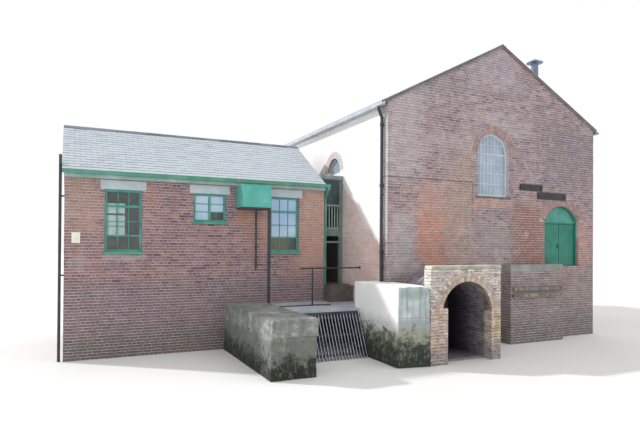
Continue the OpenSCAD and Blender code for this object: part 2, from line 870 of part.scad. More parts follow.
module engine_front_wall() {
  y0 = engine_front;
  y1 = engine_front + engine_wall;
  color("firebrick") site() difference() {
    engine_face(0, door_x, 0, y0, y1);
    gable_window_seat(y0 - past, y1 + past);
    door_arch_seat(y0 - past, y1 + past);
    culvert_hole(y0 - past, y1 + past);
  }
}

// Seat of the brick ring over the door
module door_arch_seat(y0, y1) {
  spring = ground_h + door_spring;
  intersection() {
    round_y(door_r + ring_h, door_cx, door_cz, y0, y1);
    block(door_cx - 2 * door_w, door_cx + 2 * door_w, y0, y1, spring, spring + 2 * door_w);
  }
}

module engine_wall_over_door() {
  y0 = engine_front;
  y1 = engine_front + engine_wall;
  color("firebrick") site() difference() {
    engine_face(door_x, door_x + door_w, ground_h + door_spring, y0, y1);
    door_arch_seat(y0 - past, y1 + past);
  }
}

module engine_wall_right_of_door() {
  y0 = engine_front;
  y1 = engine_front + engine_wall;
  color("firebrick") site() difference() {
    engine_face(door_x + door_w, engine_len, 0, y0, y1);
    door_arch_seat(y0 - past, y1 + past);
  }
}

module engine_door_base() {
  x0 = engine_x + door_x;
  color("firebrick") site()
    block(x0, x0 + door_w, engine_front, engine_front + engine_wall, 0, floor_z);
}

// Side wall profile from its outer face inwards, with the stepped courses below the eaves
module engine_side(outer, way) {
  step_z = engine_under(0) - eaves_step_h;
  along_y([
    [outer, 0], [outer + way * engine_wall, 0],
    [outer + way * engine_wall, engine_under(engine_wall)],
    [outer - way * eaves_step, engine_under(-eaves_step)],
    [outer - way * eaves_step, step_z], [outer, step_z]
  ], engine_front + engine_wall, engine_back - engine_wall);
}

module side_window_seats(x0, x1) {
  spring = ground_h + side_win_spring;
  for (cy = side_ys) {
    arched_x(cy, side_r, ground_h + side_win_low, spring, x0, x1);
    intersection() {
      round_x(side_r + ring_h, cy, spring, x0, x1);
      block(x0, x1, cy - 2 * side_win_w, cy + 2 * side_win_w, spring, spring + side_win_w);
    }
  }
}

module engine_left_wall() {
  color("firebrick") site() difference() {
    engine_side(engine_x, 1);
    side_window_seats(engine_x - past, engine_x + engine_wall + past);
  }
}

module engine_right_wall() {
  right = engine_x + engine_len;
  color("firebrick") site() difference() {
    engine_side(right, -1);
    side_window_seats(right - engine_wall - past, right + past);
  }
}

module engine_back_wall() {
  y0 = engine_back - engine_wall;
  color("firebrick") site() difference() {
    engine_face(0, engine_len, 0, y0, engine_back);
    gable_window_seat(y0 - past, engine_back + past);
  }
}

module engine_floor() {
  color("gray") site()
    block(engine_x + engine_wall, engine_x + engine_len - engine_wall,
      engine_front + engine_wall, engine_back - engine_wall, floor_z - engine_floor_t, floor_z);
}

module engine_slope(eave) {
  ridge = engine_x + engine_len / 2;
  low = engine_under(-engine_over) + bed;
  high = engine_under(engine_len / 2) + bed;
  along_y([
    [eave, low], [ridge, high], [ridge, high + engine_roof_v], [eave, low + engine_roof_v]
  ], engine_front - engine_verge, engine_back + engine_verge);
}

module engine_roof_left() {
  color("slategray") site() engine_slope(engine_x - engine_over);
}

module engine_roof_right() {
  color("slategray") site() engine_slope(engine_x + engine_len + engine_over);
}

module engine_ridge() {
  top = engine_under(engine_len / 2) + engine_roof_v + 2 * bed;
  color("slategray") site()
    along_y(ridge_points(engine_x + engine_len / 2, top, engine_rise, ridge_t / cos(engine_pitch)),
      engine_front - engine_verge, engine_back + engine_verge);
}

engine_gutter_z = engine_under(-engine_over) - gutter_h / 2;

module engine_gutters() {
  color("dimgray") site() {
    along_y(trough(engine_x - engine_over, engine_gutter_z, -1), engine_front - engine_verge, engine_back);
    along_y(trough(engine_x + engine_len + engine_over, engine_gutter_z, 1),
      engine_front - engine_verge, engine_back);
  }
}

// Cast iron downpipe with a swan neck under the gutter
module engine_pipe(wall, way, foot) {
  y = engine_front + corner_in;
  near = wall - way * (downpipe_r + pipe_off);
  far = wall - way * (engine_over + gutter_w / 2);
  outlet = engine_gutter_z - outlet_drop;
  bend = engine_gutter_z - swan_drop;
  pipe([far, y, engine_gutter_z], [far, y, outlet], downpipe_r);
  translate([far, y, outlet]) sphere(downpipe_r + collar);
  pipe([far, y, outlet], [near, y, bend], downpipe_r);
  translate([near, y, bend]) sphere(downpipe_r + collar);
  pipe([near, y, bend], [near, y, foot], downpipe_r);
  for (z = [foot + bracket_low, foot + bracket_high])
    block(min(near, wall), max(near, wall), y - bracket_w / 2, y + bracket_w / 2, z, z + bracket_h);
}

module engine_downpipes() {
  color("dimgray") site() {
    engine_pipe(engine_x, 1, ground_h + wing_up);
    engine_pipe(engine_x + engine_len, -1, floor_z);
  }
}

// Brick rings over the gable windows and the side windows
module window_arches() {
  spring = ground_h + gable_win_spring;
  side_spring = ground_h + side_win_spring;
  ring = ring_h - arch_fit;
  right = engine_x + engine_len;
  color("indianred") site() {
    ring_y(gable_cx, gable_r, spring, ring, spring, engine_front, engine_front + engine_wall);
    ring_y(gable_cx, gable_r, spring, ring, spring, engine_back - engine_wall, engine_back);
    for (cy = side_ys) {
      ring_x(cy, side_r, ring, side_spring, engine_x, engine_x + engine_wall);
      ring_x(cy, side_r, ring, side_spring, right - engine_wall, right);
    }
  }
}

module gable_window_frame(y0, y1) {
  spring = ground_h + gable_win_spring;
  low = ground_h + gable_win_low;
  difference() {
    arched_y(gable_cx, gable_r - arch_fit, low, spring, gable_r - arch_fit, spring, y0, y1);
    arched_y(gable_cx, gable_r - frame_w, low + frame_w, spring, gable_r - frame_w, spring,
      y0 - past, y1 + past);
  }
}

module side_window_frame(cy, x0, x1) {
  spring = ground_h + side_win_spring;
  low = ground_h + side_win_low;
  difference() {
    arched_x(cy, side_r - arch_fit, low, spring, x0, x1);
    arched_x(cy, side_r - frame_w, low + frame_w, spring, x0 - past, x1 + past);
  }
}

module engine_windows() {
  right = engine_x + engine_len;
  in0 = door_reveal;
  in1 = door_reveal + frame_d;
  color("lightsteelblue") site() {
    gable_window_frame(engine_front + in0, engine_front + in1);
    gable_window_frame(engine_back - in1, engine_back - in0);
    for (cy = side_ys) {
      side_window_frame(cy, engine_x + in0, engine_x + in1);
      side_window_frame(cy, right - in1, right - in0);
    }
  }
}

module engine_glass() {
  spring = ground_h + gable_win_spring;
  low = ground_h + gable_win_low + frame_w;
  side_spring = ground_h + side_win_spring;
  side_low = ground_h + side_win_low + frame_w;
  pane = gable_r - frame_w;
  side_pane = side_r - frame_w;
  mid = door_reveal + frame_d / 2 - glass_t / 2;
  right = engine_x + engine_len;
  color("lightblue") site() {
    for (y = [engine_front + mid, engine_back - mid - glass_t])
      arched_y(gable_cx, pane, low, spring, pane, spring, y, y + glass_t);
    for (cy = side_ys)
      for (x = [engine_x + mid, right - mid - glass_t])
        arched_x(cy, side_pane, side_low, side_spring, x, x + glass_t);
  }
}

// Two bare plates fixed to the front wall
module wall_plate(x, len, low, high) {
  z = ground_h + low;
  translate([engine_x, 0, 0])
    block(x, x + len, engine_front - plate_t, engine_front, z, z + high);
}

module wall_plates() {
  color("black") site() {
    wall_plate(plate_a_x, plate_a_len, plate_a_low, plate_a_h);
    wall_plate(plate_b_x, plate_b_len, plate_b_low, plate_b_h);
  }
}

// Flue through the right slope with a shallow cap carried on three stays
module flue() {
  x = engine_x + engine_len - flue_in;
  y = engine_front + flue_back;
  top = ground_h + flue_top;
  base = engine_under(flue_in) + engine_roof_v + 2 * bed;
  reach = 2 * flue_r;
  stay_h = 2 * cap_gap;
  color("dimgray") site() {
    difference() {
      translate([x, y, base - flue_r]) cylinder(r = flue_r, h = top - base + flue_r);
      translate([x, y, base + reach]) cylinder(r = flue_r - flue_t, h = top - base);
      along_y([
        [x + reach, base - reach * engine_rise], [x - reach, base + reach * engine_rise],
        [x - reach, base - 2 * reach], [x + reach, base - 2 * reach]
      ], y - reach, y + reach);
    }
    translate([x, y, top + cap_gap]) cylinder(r1 = cap_r, r2 = cap_top_r, h = cap_h);
    for (a = [30, 150, 270])
      translate([x, y, top + cap_gap - stay_h]) rotate([0, 0, a])
        translate([flue_r - flue_t + past, -stay_t, 0]) cube([stay_t, 2 * stay_t, stay_h + stay_t]);
  }
}

module door_arch() {
  spring = ground_h + door_spring;
  color("indianred") site()
    ring_y(door_cx, door_r, door_cz, ring_h - arch_fit, spring, engine_front, engine_front + engine_wall);
}

// Pin and its bracket on the back of the frame, at one side of the doorway
module hinge_pin(side, z) {
  x = door_cx + side * pin_in;
  out = x + side * (jamb_w - leaf_gap);
  low = z - pin_plate_t - rest_gap;
  collar_r = (pin_r + eye_r) / 2;
  block(min(out, x), max(out, x), frame_back, pin_y + collar_r, low, z - rest_gap);
  translate([x, pin_y, low]) cylinder(r = collar_r, h = pin_plate_t);
  translate([x, pin_y, low + past]) cylinder(r = pin_r, h = pin_plate_t + eye_h + pin_r);
}

module door_frame() {
  spring = ground_h + door_spring;
  half = door_w / 2;
  color("seagreen") site() {
    difference() {
      arched_y(door_cx, half - arch_fit, floor_z, spring, door_r - arch_fit, door_cz,
        frame_front, frame_back);
      difference() {
        arched_y(door_cx, half - jamb_w, floor_z - past, spring, door_r - jamb_w, door_cz,
          frame_front - past, frame_back + past);
        block(door_cx - half, door_cx + half, frame_front - 2 * past, frame_back + 2 * past,
          transom_top - transom_h, transom_top);
      }
    }
    for (side = [-1, 1])
      for (z = [hinge_low, hinge_high]) hinge_pin(side, floor_z + z);
  }
}

// Boarded panel that closes the arch above the transom
module door_lunette() {
  y0 = frame_front + lunette_in;
  pane = door_r - jamb_w;
  color("seagreen") site() intersection() {
    round_y(pane, door_cx, door_cz, y0, y0 + board_t);
    block(door_cx - door_w / 2 + jamb_w, door_cx + door_w / 2 - jamb_w, y0, y0 + board_t,
      transom_top, door_cz + pane + past);
  }
}

// Boarded leaf with ledges across its back, and two strap hinges that ride on the pins
module door_leaf(side) {
  x_pin = door_cx + side * pin_in;
  x_far = x_pin - side * leaf_w;
  lo = min(x_pin, x_far);
  hi = max(x_pin, x_far);
  strap_end = x_pin - side * strap_len;
  strap_back = pin_y - (pin_r + eye_r) / 2;
  difference() {
    union() {
      block(lo, hi, leaf_back - leaf_t, leaf_back, leaf_low, leaf_top);
      for (z = [floor_z + hinge_low, floor_z + hinge_high]) {
        block(min(x_pin, strap_end), max(x_pin, strap_end), leaf_back, strap_back, z, z + eye_h);
        translate([x_pin, pin_y, z]) cylinder(r = eye_r, h = eye_h);
      }
      for (z = [leaf_low + ledger_in, leaf_top - ledger_in - ledger_h])
        block(lo + ledger_in, hi - ledger_in, leaf_back, leaf_back + ledger_t, z, z + ledger_h);
    }
    for (z = [floor_z + hinge_low, floor_z + hinge_high])
      translate([x_pin, pin_y, z - past]) cylinder(r = pin_r + pin_fit, h = eye_h + 2 * past);
  }
}

module door_leaf_left() {
  color("mediumseagreen") site() door_leaf(-1);
}

module door_leaf_right() {
  color("mediumseagreen") site() door_leaf(1);
}

// Brick ledge beside the door, with its concrete slab and timber walings
module step_ledge() {
  x0 = engine_x + ledge_x;
  color("indianred") site()
    block(x0, x0 + ledge_len, engine_front - ledge_out, engine_front,
      0, ground_h + ledge_top - ledge_slab_t);
}

module ledge_slab() {
  x0 = engine_x + ledge_x;
  top = ground_h + ledge_top;
  color("darkgray") site()
    block(x0, x0 + ledge_len, engine_front - ledge_out, engine_front, top - ledge_slab_t, top);
}

module walings() {
  x0 = engine_x + ledge_x;
  y1 = engine_front - ledge_out;
  color("peru") site()
    for (z = [ground_h - waling_down, ground_h - waling_down + waling_pitch])
      block(x0 + waling_in, x0 + ledge_len - waling_in, y1 - waling_t, y1, z, z + waling_h);
}

// Timber frame of the link: two posts, a low rail, the walkway beam and the head
link_left = pump_len;
link_right = engine_x;
walk_top = ground_h + walk_low + walk_h;

module link_frame() {
  y0 = link_in;
  y1 = link_in + post_d;
  top = ground_h + link_roof_z;
  color("darkseagreen") site() {
    block(link_left, link_left + post_left_w, y0, y1, ground_h, top);
    block(link_right - post_right_w, link_right, y0, y1, ground_h, top);
    block(link_left, link_right, y0, y1, ground_h + low_rail_z, ground_h + low_rail_z + low_rail_h);
    block(link_left, link_right, y0, y1, ground_h + walk_low, walk_top);
    block(link_left, link_right, y0, y1, top - board_t, top);
  }
}

module link_floor() {
  color("darkseagreen") site()
    block(link_left, link_right, link_in + post_d, link_in + link_dep, walk_top - board_t, walk_top);
}

module link_balustrade() {
  x0 = link_left + post_left_w;
  x1 = link_right - post_right_w;
  y0 = link_in + baluster_in;
  top = walk_top + rail_h;
  pitch = (x1 - x0) / slat_count;
  inset = baluster_rail / 4;
  color("lightgray") site() {
    block(x0, x1, y0, y0 + baluster_rail, walk_top, walk_top + baluster_rail);
    block(x0, x1, y0, y0 + baluster_rail, top - baluster_rail, top);
    for (i = [0 : slat_count - 1]) {
      x = x0 + (i + 0.5) * pitch;
      block(x - slat_w / 2, x + slat_w / 2, y0 + inset, y0 + baluster_rail - inset,
        walk_top + past, top - past);
    }
  }
}

// Dark boards above the balustrade and across the back
module link_boards() {
  back = link_in + link_dep;
  top = ground_h + link_roof_z;
  color("darkslategray") site() {
    block(link_left + post_left_w, link_right - post_right_w,
      link_in + baluster_in, link_in + baluster_in + board_t, walk_top + rail_h, top - board_t);
    block(link_left, link_right, back - board_t, back, walk_top, top);
  }
}

module link_roof() {
  z0 = ground_h + link_roof_z;
  color("silver") site()
    block(link_left, link_right, link_in - link_roof_out, link_in + link_dep + link_roof_out,
      z0, z0 + link_roof_t);
}

module landing() {
  color("gray") site()
    block(link_left, link_right, -low_wall_out + low_wall_t, landing_back, ground_h - landing_t, ground_h);
}

// Left abutment: a mass of concrete with a standing-out upper block
module left_abutment() {
  top = ground_h - abut_down;
  front = -abut_out;
  color("darkgray") site() along_x([
    [front + abut_cap_out, 0], [0, 0], [0, top], [front, top],
    [front, top - abut_cap_h], [front + abut_cap_out, top - abut_cap_h - abut_cap_out]
  ], channel_x - abut_w, channel_x);
}

// Right intake wall: wide in front of the engine house, narrow beside it, its face run out to the portal's
module intake_wall() {
  color("gainsboro") site() linear_extrude(ground_h + wing_up) polygon([
    [channel_right, -wing_out], [portal_left, portal_front], [portal_left, engine_front],
    [engine_x, engine_front], [engine_x, -wing_back], [channel_right, -wing_back]
  ]);
}

module deck() {
  color("lightslategray") site() translate([0, 0, deck_z - deck_t]) linear_extrude(deck_t) polygon([
    [channel_x, -deck_out], [channel_right, -deck_out], [channel_right, -wing_back],
    [engine_x, -wing_back], [engine_x, -low_wall_out], [pump_len, -low_wall_out],
    [pump_len, 0], [channel_x, 0]
  ]);
}

// Raked screen: flat bars cut level at head and foot, with cross beams behind them
module trash_screen() {
  head = deck_z - deck_t;
  head_y = -deck_out - bar_d / 2;
  foot_y = head_y - screen_rake;
  pitch = channel_w / bar_count;
  color("dimgray") site() {
    for (i = [0 : bar_count - 1])
      along_x([[foot_y, 0], [foot_y + bar_d, 0], [head_y + bar_d, head], [head_y, head]],
        channel_x + (i + 0.5) * pitch - bar_t / 2, channel_x + (i + 0.5) * pitch + bar_t / 2);
    for (s = [cross_low_share, cross_mid_share, cross_high_share]) {
      y = foot_y + s * screen_rake + bar_d * 0.9;
      z = s * head;
      block(channel_x, channel_right, y, y + cross_d, z, z + cross_d);
    }
  }
}

module low_wall() {
  top = ground_h - low_wall_down;
  front = -low_wall_out;
  color("gray") site() {
    block(link_left, link_right, front, front + low_wall_t, 0, top);
    block(link_left, link_right, front - low_cope_out, front + low_wall_t, top - low_cope_t, top);
  }
}

module handrail() {
  z = ground_h + rail_z;
  color("black") site() {
    round_x(rail_r, -rail_out, z, rail_x, engine_x - rail_flange_t);
    round_x(2 * rail_r, -rail_out, z, engine_x - rail_flange_t, engine_x);
    translate([rail_post_x, -rail_out, deck_z]) cylinder(r = rail_r, h = z - deck_z);
    translate([rail_post_x, -rail_out, deck_z]) cylinder(r = 3 * rail_r, h = rail_flange_t);
  }
}

// Mouth of the culvert: straight sides below the springing, half round above
module culvert_hole(y0, y1) {
  arched_y(arch_x, arch_r, -past, arch_z, arch_r, arch_z, y0, y1);
}

module pier_block(y0, y1) {
  block(portal_left, pier_right, y0, y1, 0, pier_top);
}

// Portal wall with its seat for the voussoirs, and the left pier that carries them
module portal_wall() {
  y0 = portal_front;
  y1 = portal_front + portal_t;
  color("rosybrown") site() union() {
    difference() {
      block(portal_left, portal_left + portal_w, y0, y1, 0, ground_h + portal_up - cope_t);
      culvert_hole(y0 - past, y1 + past);
      intersection() {
        round_y(arch_r + voussoir_h, arch_x, arch_z, y0 - past, y1 + past);
        block(portal_left - past, portal_left + portal_w, y0 - past, y1 + past, arch_z, arch_z + 2 * arch_r);
      }
    }
    pier_block(y0, y1);
  }
}

module portal_coping() {
  top = ground_h + portal_up;
  color("lightgray") site()
    block(portal_left, portal_left + portal_w, portal_front - cope_out, portal_front + portal_t,
      top - cope_t, top);
}

module portal_arch() {
  y0 = portal_front;
  y1 = portal_front + portal_t;
  color("tan") site() difference() {
    ring_y(arch_x, arch_r, arch_z, voussoir_h - arch_fit, arch_z, y0, y1);
    pier_block(y0 - past, y1 + past);
  }
}

// Brick barrel from the portal back to the engine house, with its floor
module culvert_barrel() {
  y0 = portal_front + portal_t;
  y1 = engine_front;
  outer = arch_r + barrel_t;
  color("rosybrown") site() {
    difference() {
      arched_y(arch_x, outer, 0, arch_z, outer, arch_z, y0, y1);
      arched_y(arch_x, arch_r, invert_t, arch_z, arch_r, arch_z, y0 - past, y1 + past);
    }
  }
}

pump_front_wall();
pump_back_wall();
pump_left_gable();
pump_right_gable();
pump_floor();
pump_roof_front();
pump_roof_back();
pump_ridge();
pump_fascia();
pump_gutters();
pump_windows();
pump_glass();
pump_lintels();
pump_sills();
pump_downpipes();
hood();
wall_pipes();
plaque();
engine_front_wall();
engine_wall_over_door();
engine_wall_right_of_door();
engine_door_base();
engine_left_wall();
engine_right_wall();
engine_back_wall();
engine_floor();
engine_roof_left();
engine_roof_right();
engine_ridge();
engine_gutters();
engine_downpipes();
window_arches();
engine_windows();
engine_glass();
wall_plates();
flue();
door_arch();
door_frame();
door_lunette();
door_leaf_left();
door_leaf_right();
step_ledge();
ledge_slab();
walings();
link_frame();
link_floor();
link_balustrade();
link_boards();
link_roof();
landing();
left_abutment();
intake_wall();
deck();
trash_screen();
low_wall();
handrail();
portal_wall();
portal_coping();
portal_arch();
culvert_barrel();
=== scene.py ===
# %% [markdown]
# # Drainage pumping station
# A tall brick engine house and a lower brick pump house stand side by side. A timber link
# joins them, a raked screen guards the intake, and a brick culvert runs below the engine
# house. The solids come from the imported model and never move. This script gives each of them
# its finish and adds what is too fine for the solids, such as slates, glazing bars and the
# single bricks of the arches.

import math
import random

import bmesh
import bpy
from mathutils import Matrix, Vector
from mathutils.noise import turbulence


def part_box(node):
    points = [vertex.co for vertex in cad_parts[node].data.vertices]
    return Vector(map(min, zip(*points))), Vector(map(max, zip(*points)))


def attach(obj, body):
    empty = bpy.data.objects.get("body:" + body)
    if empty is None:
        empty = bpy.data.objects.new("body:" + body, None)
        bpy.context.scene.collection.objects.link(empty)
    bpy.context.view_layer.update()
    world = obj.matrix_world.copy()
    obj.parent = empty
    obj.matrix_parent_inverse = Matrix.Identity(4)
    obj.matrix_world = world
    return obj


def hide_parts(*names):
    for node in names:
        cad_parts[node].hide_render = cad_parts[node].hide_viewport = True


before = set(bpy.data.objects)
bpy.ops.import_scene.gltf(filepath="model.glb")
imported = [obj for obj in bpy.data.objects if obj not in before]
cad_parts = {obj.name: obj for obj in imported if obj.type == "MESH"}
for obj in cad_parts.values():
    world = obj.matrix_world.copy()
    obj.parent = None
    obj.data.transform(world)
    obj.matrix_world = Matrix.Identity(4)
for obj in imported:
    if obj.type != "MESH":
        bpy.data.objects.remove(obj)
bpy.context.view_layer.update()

# %% [markdown]
# ## Camera
# The photograph was taken from in front, a little above the deck, and looks along a line
# 25 degrees to the right of straight ahead. A camera can be aimed with a constraint, but its
# place and angles were measured from the building, so they are written as they are. The small
# upward shift stands for the crop of the picture.

# %% Camera
CAMERA_PLACE = Vector((-8.0444, -17.4086, 2.9883))
YAW, PITCH, ROLL = 0.4418, 0.0078, 0.0066
SENSOR_WIDTH = 36.0
FOCAL_PIXELS, WIDTH_PIXELS, CENTRE_DROP_PIXELS = 525.2, 640, 26.9

level = math.cos(PITCH)
ahead = Vector((math.sin(YAW) * level, math.cos(YAW) * level, math.sin(PITCH)))
across = Vector((math.cos(YAW), -math.sin(YAW), 0.0))
upward = across.cross(ahead)
tilted_across = across * math.cos(ROLL) + upward * math.sin(ROLL)
tilted_up = upward * math.cos(ROLL) - across * math.sin(ROLL)

camera_data = bpy.data.cameras.new("camera")
camera_data.lens = SENSOR_WIDTH * FOCAL_PIXELS / WIDTH_PIXELS
camera_data.shift_y = CENTRE_DROP_PIXELS / WIDTH_PIXELS
camera_data.clip_end = 500.0
camera = bpy.data.objects.new("camera", camera_data)
turn = Matrix((tilted_across, tilted_up, -ahead)).transposed().to_4x4()
camera.matrix_world = Matrix.Translation(CAMERA_PLACE) @ turn
bpy.context.scene.collection.objects.link(camera)
bpy.context.scene.camera = camera
print("lens", round(camera_data.lens, 2), "mm")

# %% [markdown]
# ## Helpers for shader nodes
# A finish on a wall is a chain of small steps: find the brick, find the stain, mix the
# colours. The chain could be dragged together by hand, but written down it can be read and
# repeated. These helpers add one node at a time and plug sockets or plain numbers into it.

# %% Helpers for shader nodes
def add(tree, kind, inputs=None, **settings):
    made = tree.nodes.new(kind)
    for name, value in settings.items():
        setattr(made, name, value)
    for name, value in (inputs or {}).items():
        if isinstance(value, bpy.types.NodeSocket):
            tree.links.new(value, made.inputs[name])
        else:
            made.inputs[name].default_value = value
    return made


def sums(tree, operation, a, b=0.0, c=0.0):
    return add(tree, "ShaderNodeMath", {0: a, 1: b, 2: c}, operation=operation).outputs[0]


def times(tree, first, *others):
    """Masks multiplied together, which leaves only what all of them cover."""
    for other in others:
        first = sums(tree, "MULTIPLY", first, other)
    return first


def blend(tree, share, a, b, mode="MIX"):
    made = add(tree, "ShaderNodeMix", {0: share, 6: a, 7: b}, data_type="RGBA", blend_type=mode)
    return made.outputs[2]


def between(tree, share, a, b):
    return add(tree, "ShaderNodeMix", {0: share, 2: a, 3: b}, data_type="FLOAT").outputs[0]


def noise(tree, place, scale, detail=3.0, rough=0.55):
    sockets = {"Vector": place, "Scale": scale, "Detail": detail, "Roughness": rough}
    return add(tree, "ShaderNodeTexNoise", sockets).outputs[0]


def uneven(tree, place, scale, detail=3.0, rough=0.55):
    """A noise to both sides of nothing, which makes an edge ragged."""
    return sums(tree, "SUBTRACT", noise(tree, place, scale, detail, rough), 0.5)


def ease(tree, value, low, high, start=0.0, end=1.0):
    sockets = {0: value, 1: low, 2: high, 3: start, 4: end}
    return add(tree, "ShaderNodeMapRange", sockets, interpolation_type="SMOOTHSTEP").outputs[0]


print("node helpers ready")

# %% [markdown]
# ## Helpers for places, faces and colours
# A pattern has to know where a point lies on the station and which way its face looks. Object
# coordinates give metres in the model's own frame, so a course of bricks keeps its height from
# wall to wall. Colours are written as a paint chart gives them.

# %% Helpers for places, faces and colours
def object_place(tree):
    return add(tree, "ShaderNodeTexCoord").outputs["Object"]


def stretched(tree, place, factors):
    return add(tree, "ShaderNodeMapping", {"Vector": place, "Scale": factors}).outputs[0]


def axes(tree, vector):
    return add(tree, "ShaderNodeSeparateXYZ", {0: vector}).outputs[:3]


def facing(tree):
    return axes(tree, add(tree, "ShaderNodeNewGeometry").outputs["Normal"])


def paint(colour):
    """A colour as a paint chart gives it, 0 to 255, turned into the linear one that light uses."""
    linear = [((c / 255 + 0.055) / 1.055) ** 2.4 if c > 10 else c / 3294 for c in colour]
    return (*linear, 1.0)


print("a mid grey in linear light:", [round(c, 3) for c in paint((128, 128, 128))])

# %% [markdown]
# ## Shared effects
# Brick courses, grain, blotches, a tide line near the foot, streaks below an edge and a patch
# of rebuilt wall all turn up in more than one finish. Each is built once as a node group with
# named inputs. A group puts out only masks and tones, and each material decides what colour
# they bring.

# %% Shared effects: making and using a group
def new_group(name, inputs, outputs=("Mask",)):
    group = bpy.data.node_groups.new(name, "ShaderNodeTree")
    for title, value in inputs.items():
        socket = group.interface.new_socket(title, in_out="INPUT", socket_type="NodeSocketFloat")
        socket.default_value = value
    for title in outputs:
        group.interface.new_socket(title, in_out="OUTPUT", socket_type="NodeSocketFloat")
    given = group.nodes.new("NodeGroupInput").outputs
    return group, given, group.nodes.new("NodeGroupOutput").inputs


def use(tree, group, output="Mask", **values):
    made = tree.nodes.new("ShaderNodeGroup")
    made.node_tree = bpy.data.node_groups[group]
    for title, value in values.items():
        made.inputs[title].default_value = value
    return made.outputs[output]


print("groups can be made and used")

# %% [markdown]
# ## Brick courses and grain
# A wall is built brick by brick along level lines, and no line is quite true. Blender's brick
# texture draws flat courses, so it is fed with the way along the wall and the height, both
# moved a little by a noise. It gives each brick its own tone. Grain is the fine speckle of
# fired clay, concrete or paint, and it gives the dark half of that speckle as a mask.

# %% Brick courses and grain
TURNED = 0.6


def build_brick_courses():
    """Courses on upright and level faces: a tone for each brick, the joints, and painted shadow."""
    inputs = {"Brick": 0.225, "Course": 0.076, "Joint": 0.005, "Wander": 0.006}
    group, given, out = new_group("brick_courses", inputs, ("Tone", "Joints", "JointShadow"))
    place = object_place(group)
    x, y, z = axes(group, place)
    facing_x, _, facing_z = facing(group)
    sideways = sums(group, "GREATER_THAN", sums(group, "ABSOLUTE", facing_x), TURNED)
    level = sums(group, "GREATER_THAN", sums(group, "ABSOLUTE", facing_z), TURNED)
    drift, wobble = uneven(group, place, 2.3), uneven(group, place, 23.0)
    shift = times(group, sums(group, "ADD", drift, wobble), given["Wander"])
    along = sums(group, "ADD", between(group, sideways, x, y), times(group, shift, 2.0))
    rise = sums(group, "ADD", between(group, level, z, y), shift)
    sockets = {
        "Vector": add(group, "ShaderNodeCombineXYZ", {0: along, 1: rise}).outputs[0],
        "Color1": (0, 0, 0, 1),
        "Color2": (1, 1, 1, 1),
        "Mortar": (0.5, 0.5, 0.5, 1),
        "Scale": 1.0,
        "Mortar Size": given["Joint"],
        "Mortar Smooth": 0.35,
        "Bias": 0.0,
        "Brick Width": given["Brick"],
        "Row Height": given["Course"],
    }
    headers = {"offset": 0.5, "offset_frequency": 2, "squash": 0.5, "squash_frequency": 4}
    made = add(group, "ShaderNodeTexBrick", sockets, **headers)
    group.links.new(made.outputs["Color"], out["Tone"])
    part = sums(group, "FRACT", sums(group, "DIVIDE", rise, given["Course"]))
    to_middle = sums(group, "ABSOLUTE", sums(group, "SUBTRACT", part, 0.5))
    to_bed = times(group, sums(group, "SUBTRACT", 0.5, to_middle), given["Course"])
    bed = ease(group, to_bed, times(group, given["Joint"], 0.65), given["Joint"], 1.0, 0.0)
    upright = times(group, made.outputs["Fac"], 0.55)
    group.links.new(sums(group, "MAXIMUM", bed, upright), out["Joints"])
    # Painted shadow on the upper part of each brick, just under the joint above, broken by a noise.
    broken = ease(group, noise(group, place, 6.0, 3.0), 0.35, 0.6, 0.3, 1.0)
    group.links.new(times(group, ease(group, part, 0.4, 0.85), broken), out["JointShadow"])


def build_grain():
    """A fine speckle and its dark half. Rise below 1 draws the speckle out into upright fibres."""
    inputs = {"Size": 55.0, "Rise": 1.0, "Detail": 4.0, "Rough": 0.7, "High": 0.7}
    group, given, out = new_group("grain", inputs, ("Value", "Dark"))
    x, y, z = axes(group, object_place(group))
    drawn = add(group, "ShaderNodeCombineXYZ", {0: x, 1: y, 2: times(group, z, given["Rise"])})
    value = noise(group, drawn.outputs[0], given["Size"], given["Detail"], given["Rough"])
    group.links.new(value, out["Value"])
    sockets = {0: value, 1: 0.3, 2: given["High"], 3: 1.0, 4: 0.0}
    group.links.new(add(group, "ShaderNodeMapRange", sockets).outputs[0], out["Dark"])


build_brick_courses()
build_grain()
print("groups:", [group.name for group in bpy.data.node_groups])

# %% [markdown]
# ## Stains and growth
# Weather leaves clouds of soot, damp that rises to a ragged line, thin runs, and clumps of
# algae near the foot. Each could be painted by hand on an unwrapped wall, but a noise that is
# cut off at a level gives the same ragged shapes at any size and needs no picture.

# %% Stains and growth
def shifted(group, place, seed):
    """Reads a noise from elsewhere, so that two stains never share a shape."""
    away = add(group, "ShaderNodeCombineXYZ", {0: seed, 1: seed, 2: seed}).outputs[0]
    return add(group, "ShaderNodeVectorMath", {0: place, 1: away}, operation="ADD").outputs[0]


def build_blotches():
    """Cloudy patches: low and high set how much of the wall they cover."""
    inputs = {"Size": 1.0, "Low": 0.5, "High": 0.6, "Seed": 0.0}
    group, given, out = new_group("blotches", inputs)
    moved = shifted(group, object_place(group), given["Seed"])
    value = noise(group, moved, given["Size"], 6.0, 0.65)
    group.links.new(ease(group, value, given["Low"], given["High"]), out["Mask"])


def build_tide():
    """Everything below a ragged level: damp brick, algae, a dark plinth."""
    group, given, out = new_group("tide", {"Level": 0.5, "Fade": 0.3, "Ragged": 0.3})
    place = object_place(group)
    rough = uneven(group, stretched(group, place, (1.2, 1.2, 0.9)), 1.8, 8.0, 0.7)
    height = sums(group, "MULTIPLY_ADD", rough, given["Ragged"], axes(group, place)[2])
    upper = sums(group, "ADD", given["Level"], given["Fade"])
    group.links.new(ease(group, height, given["Level"], upper, 1.0, 0.0), out["Mask"])


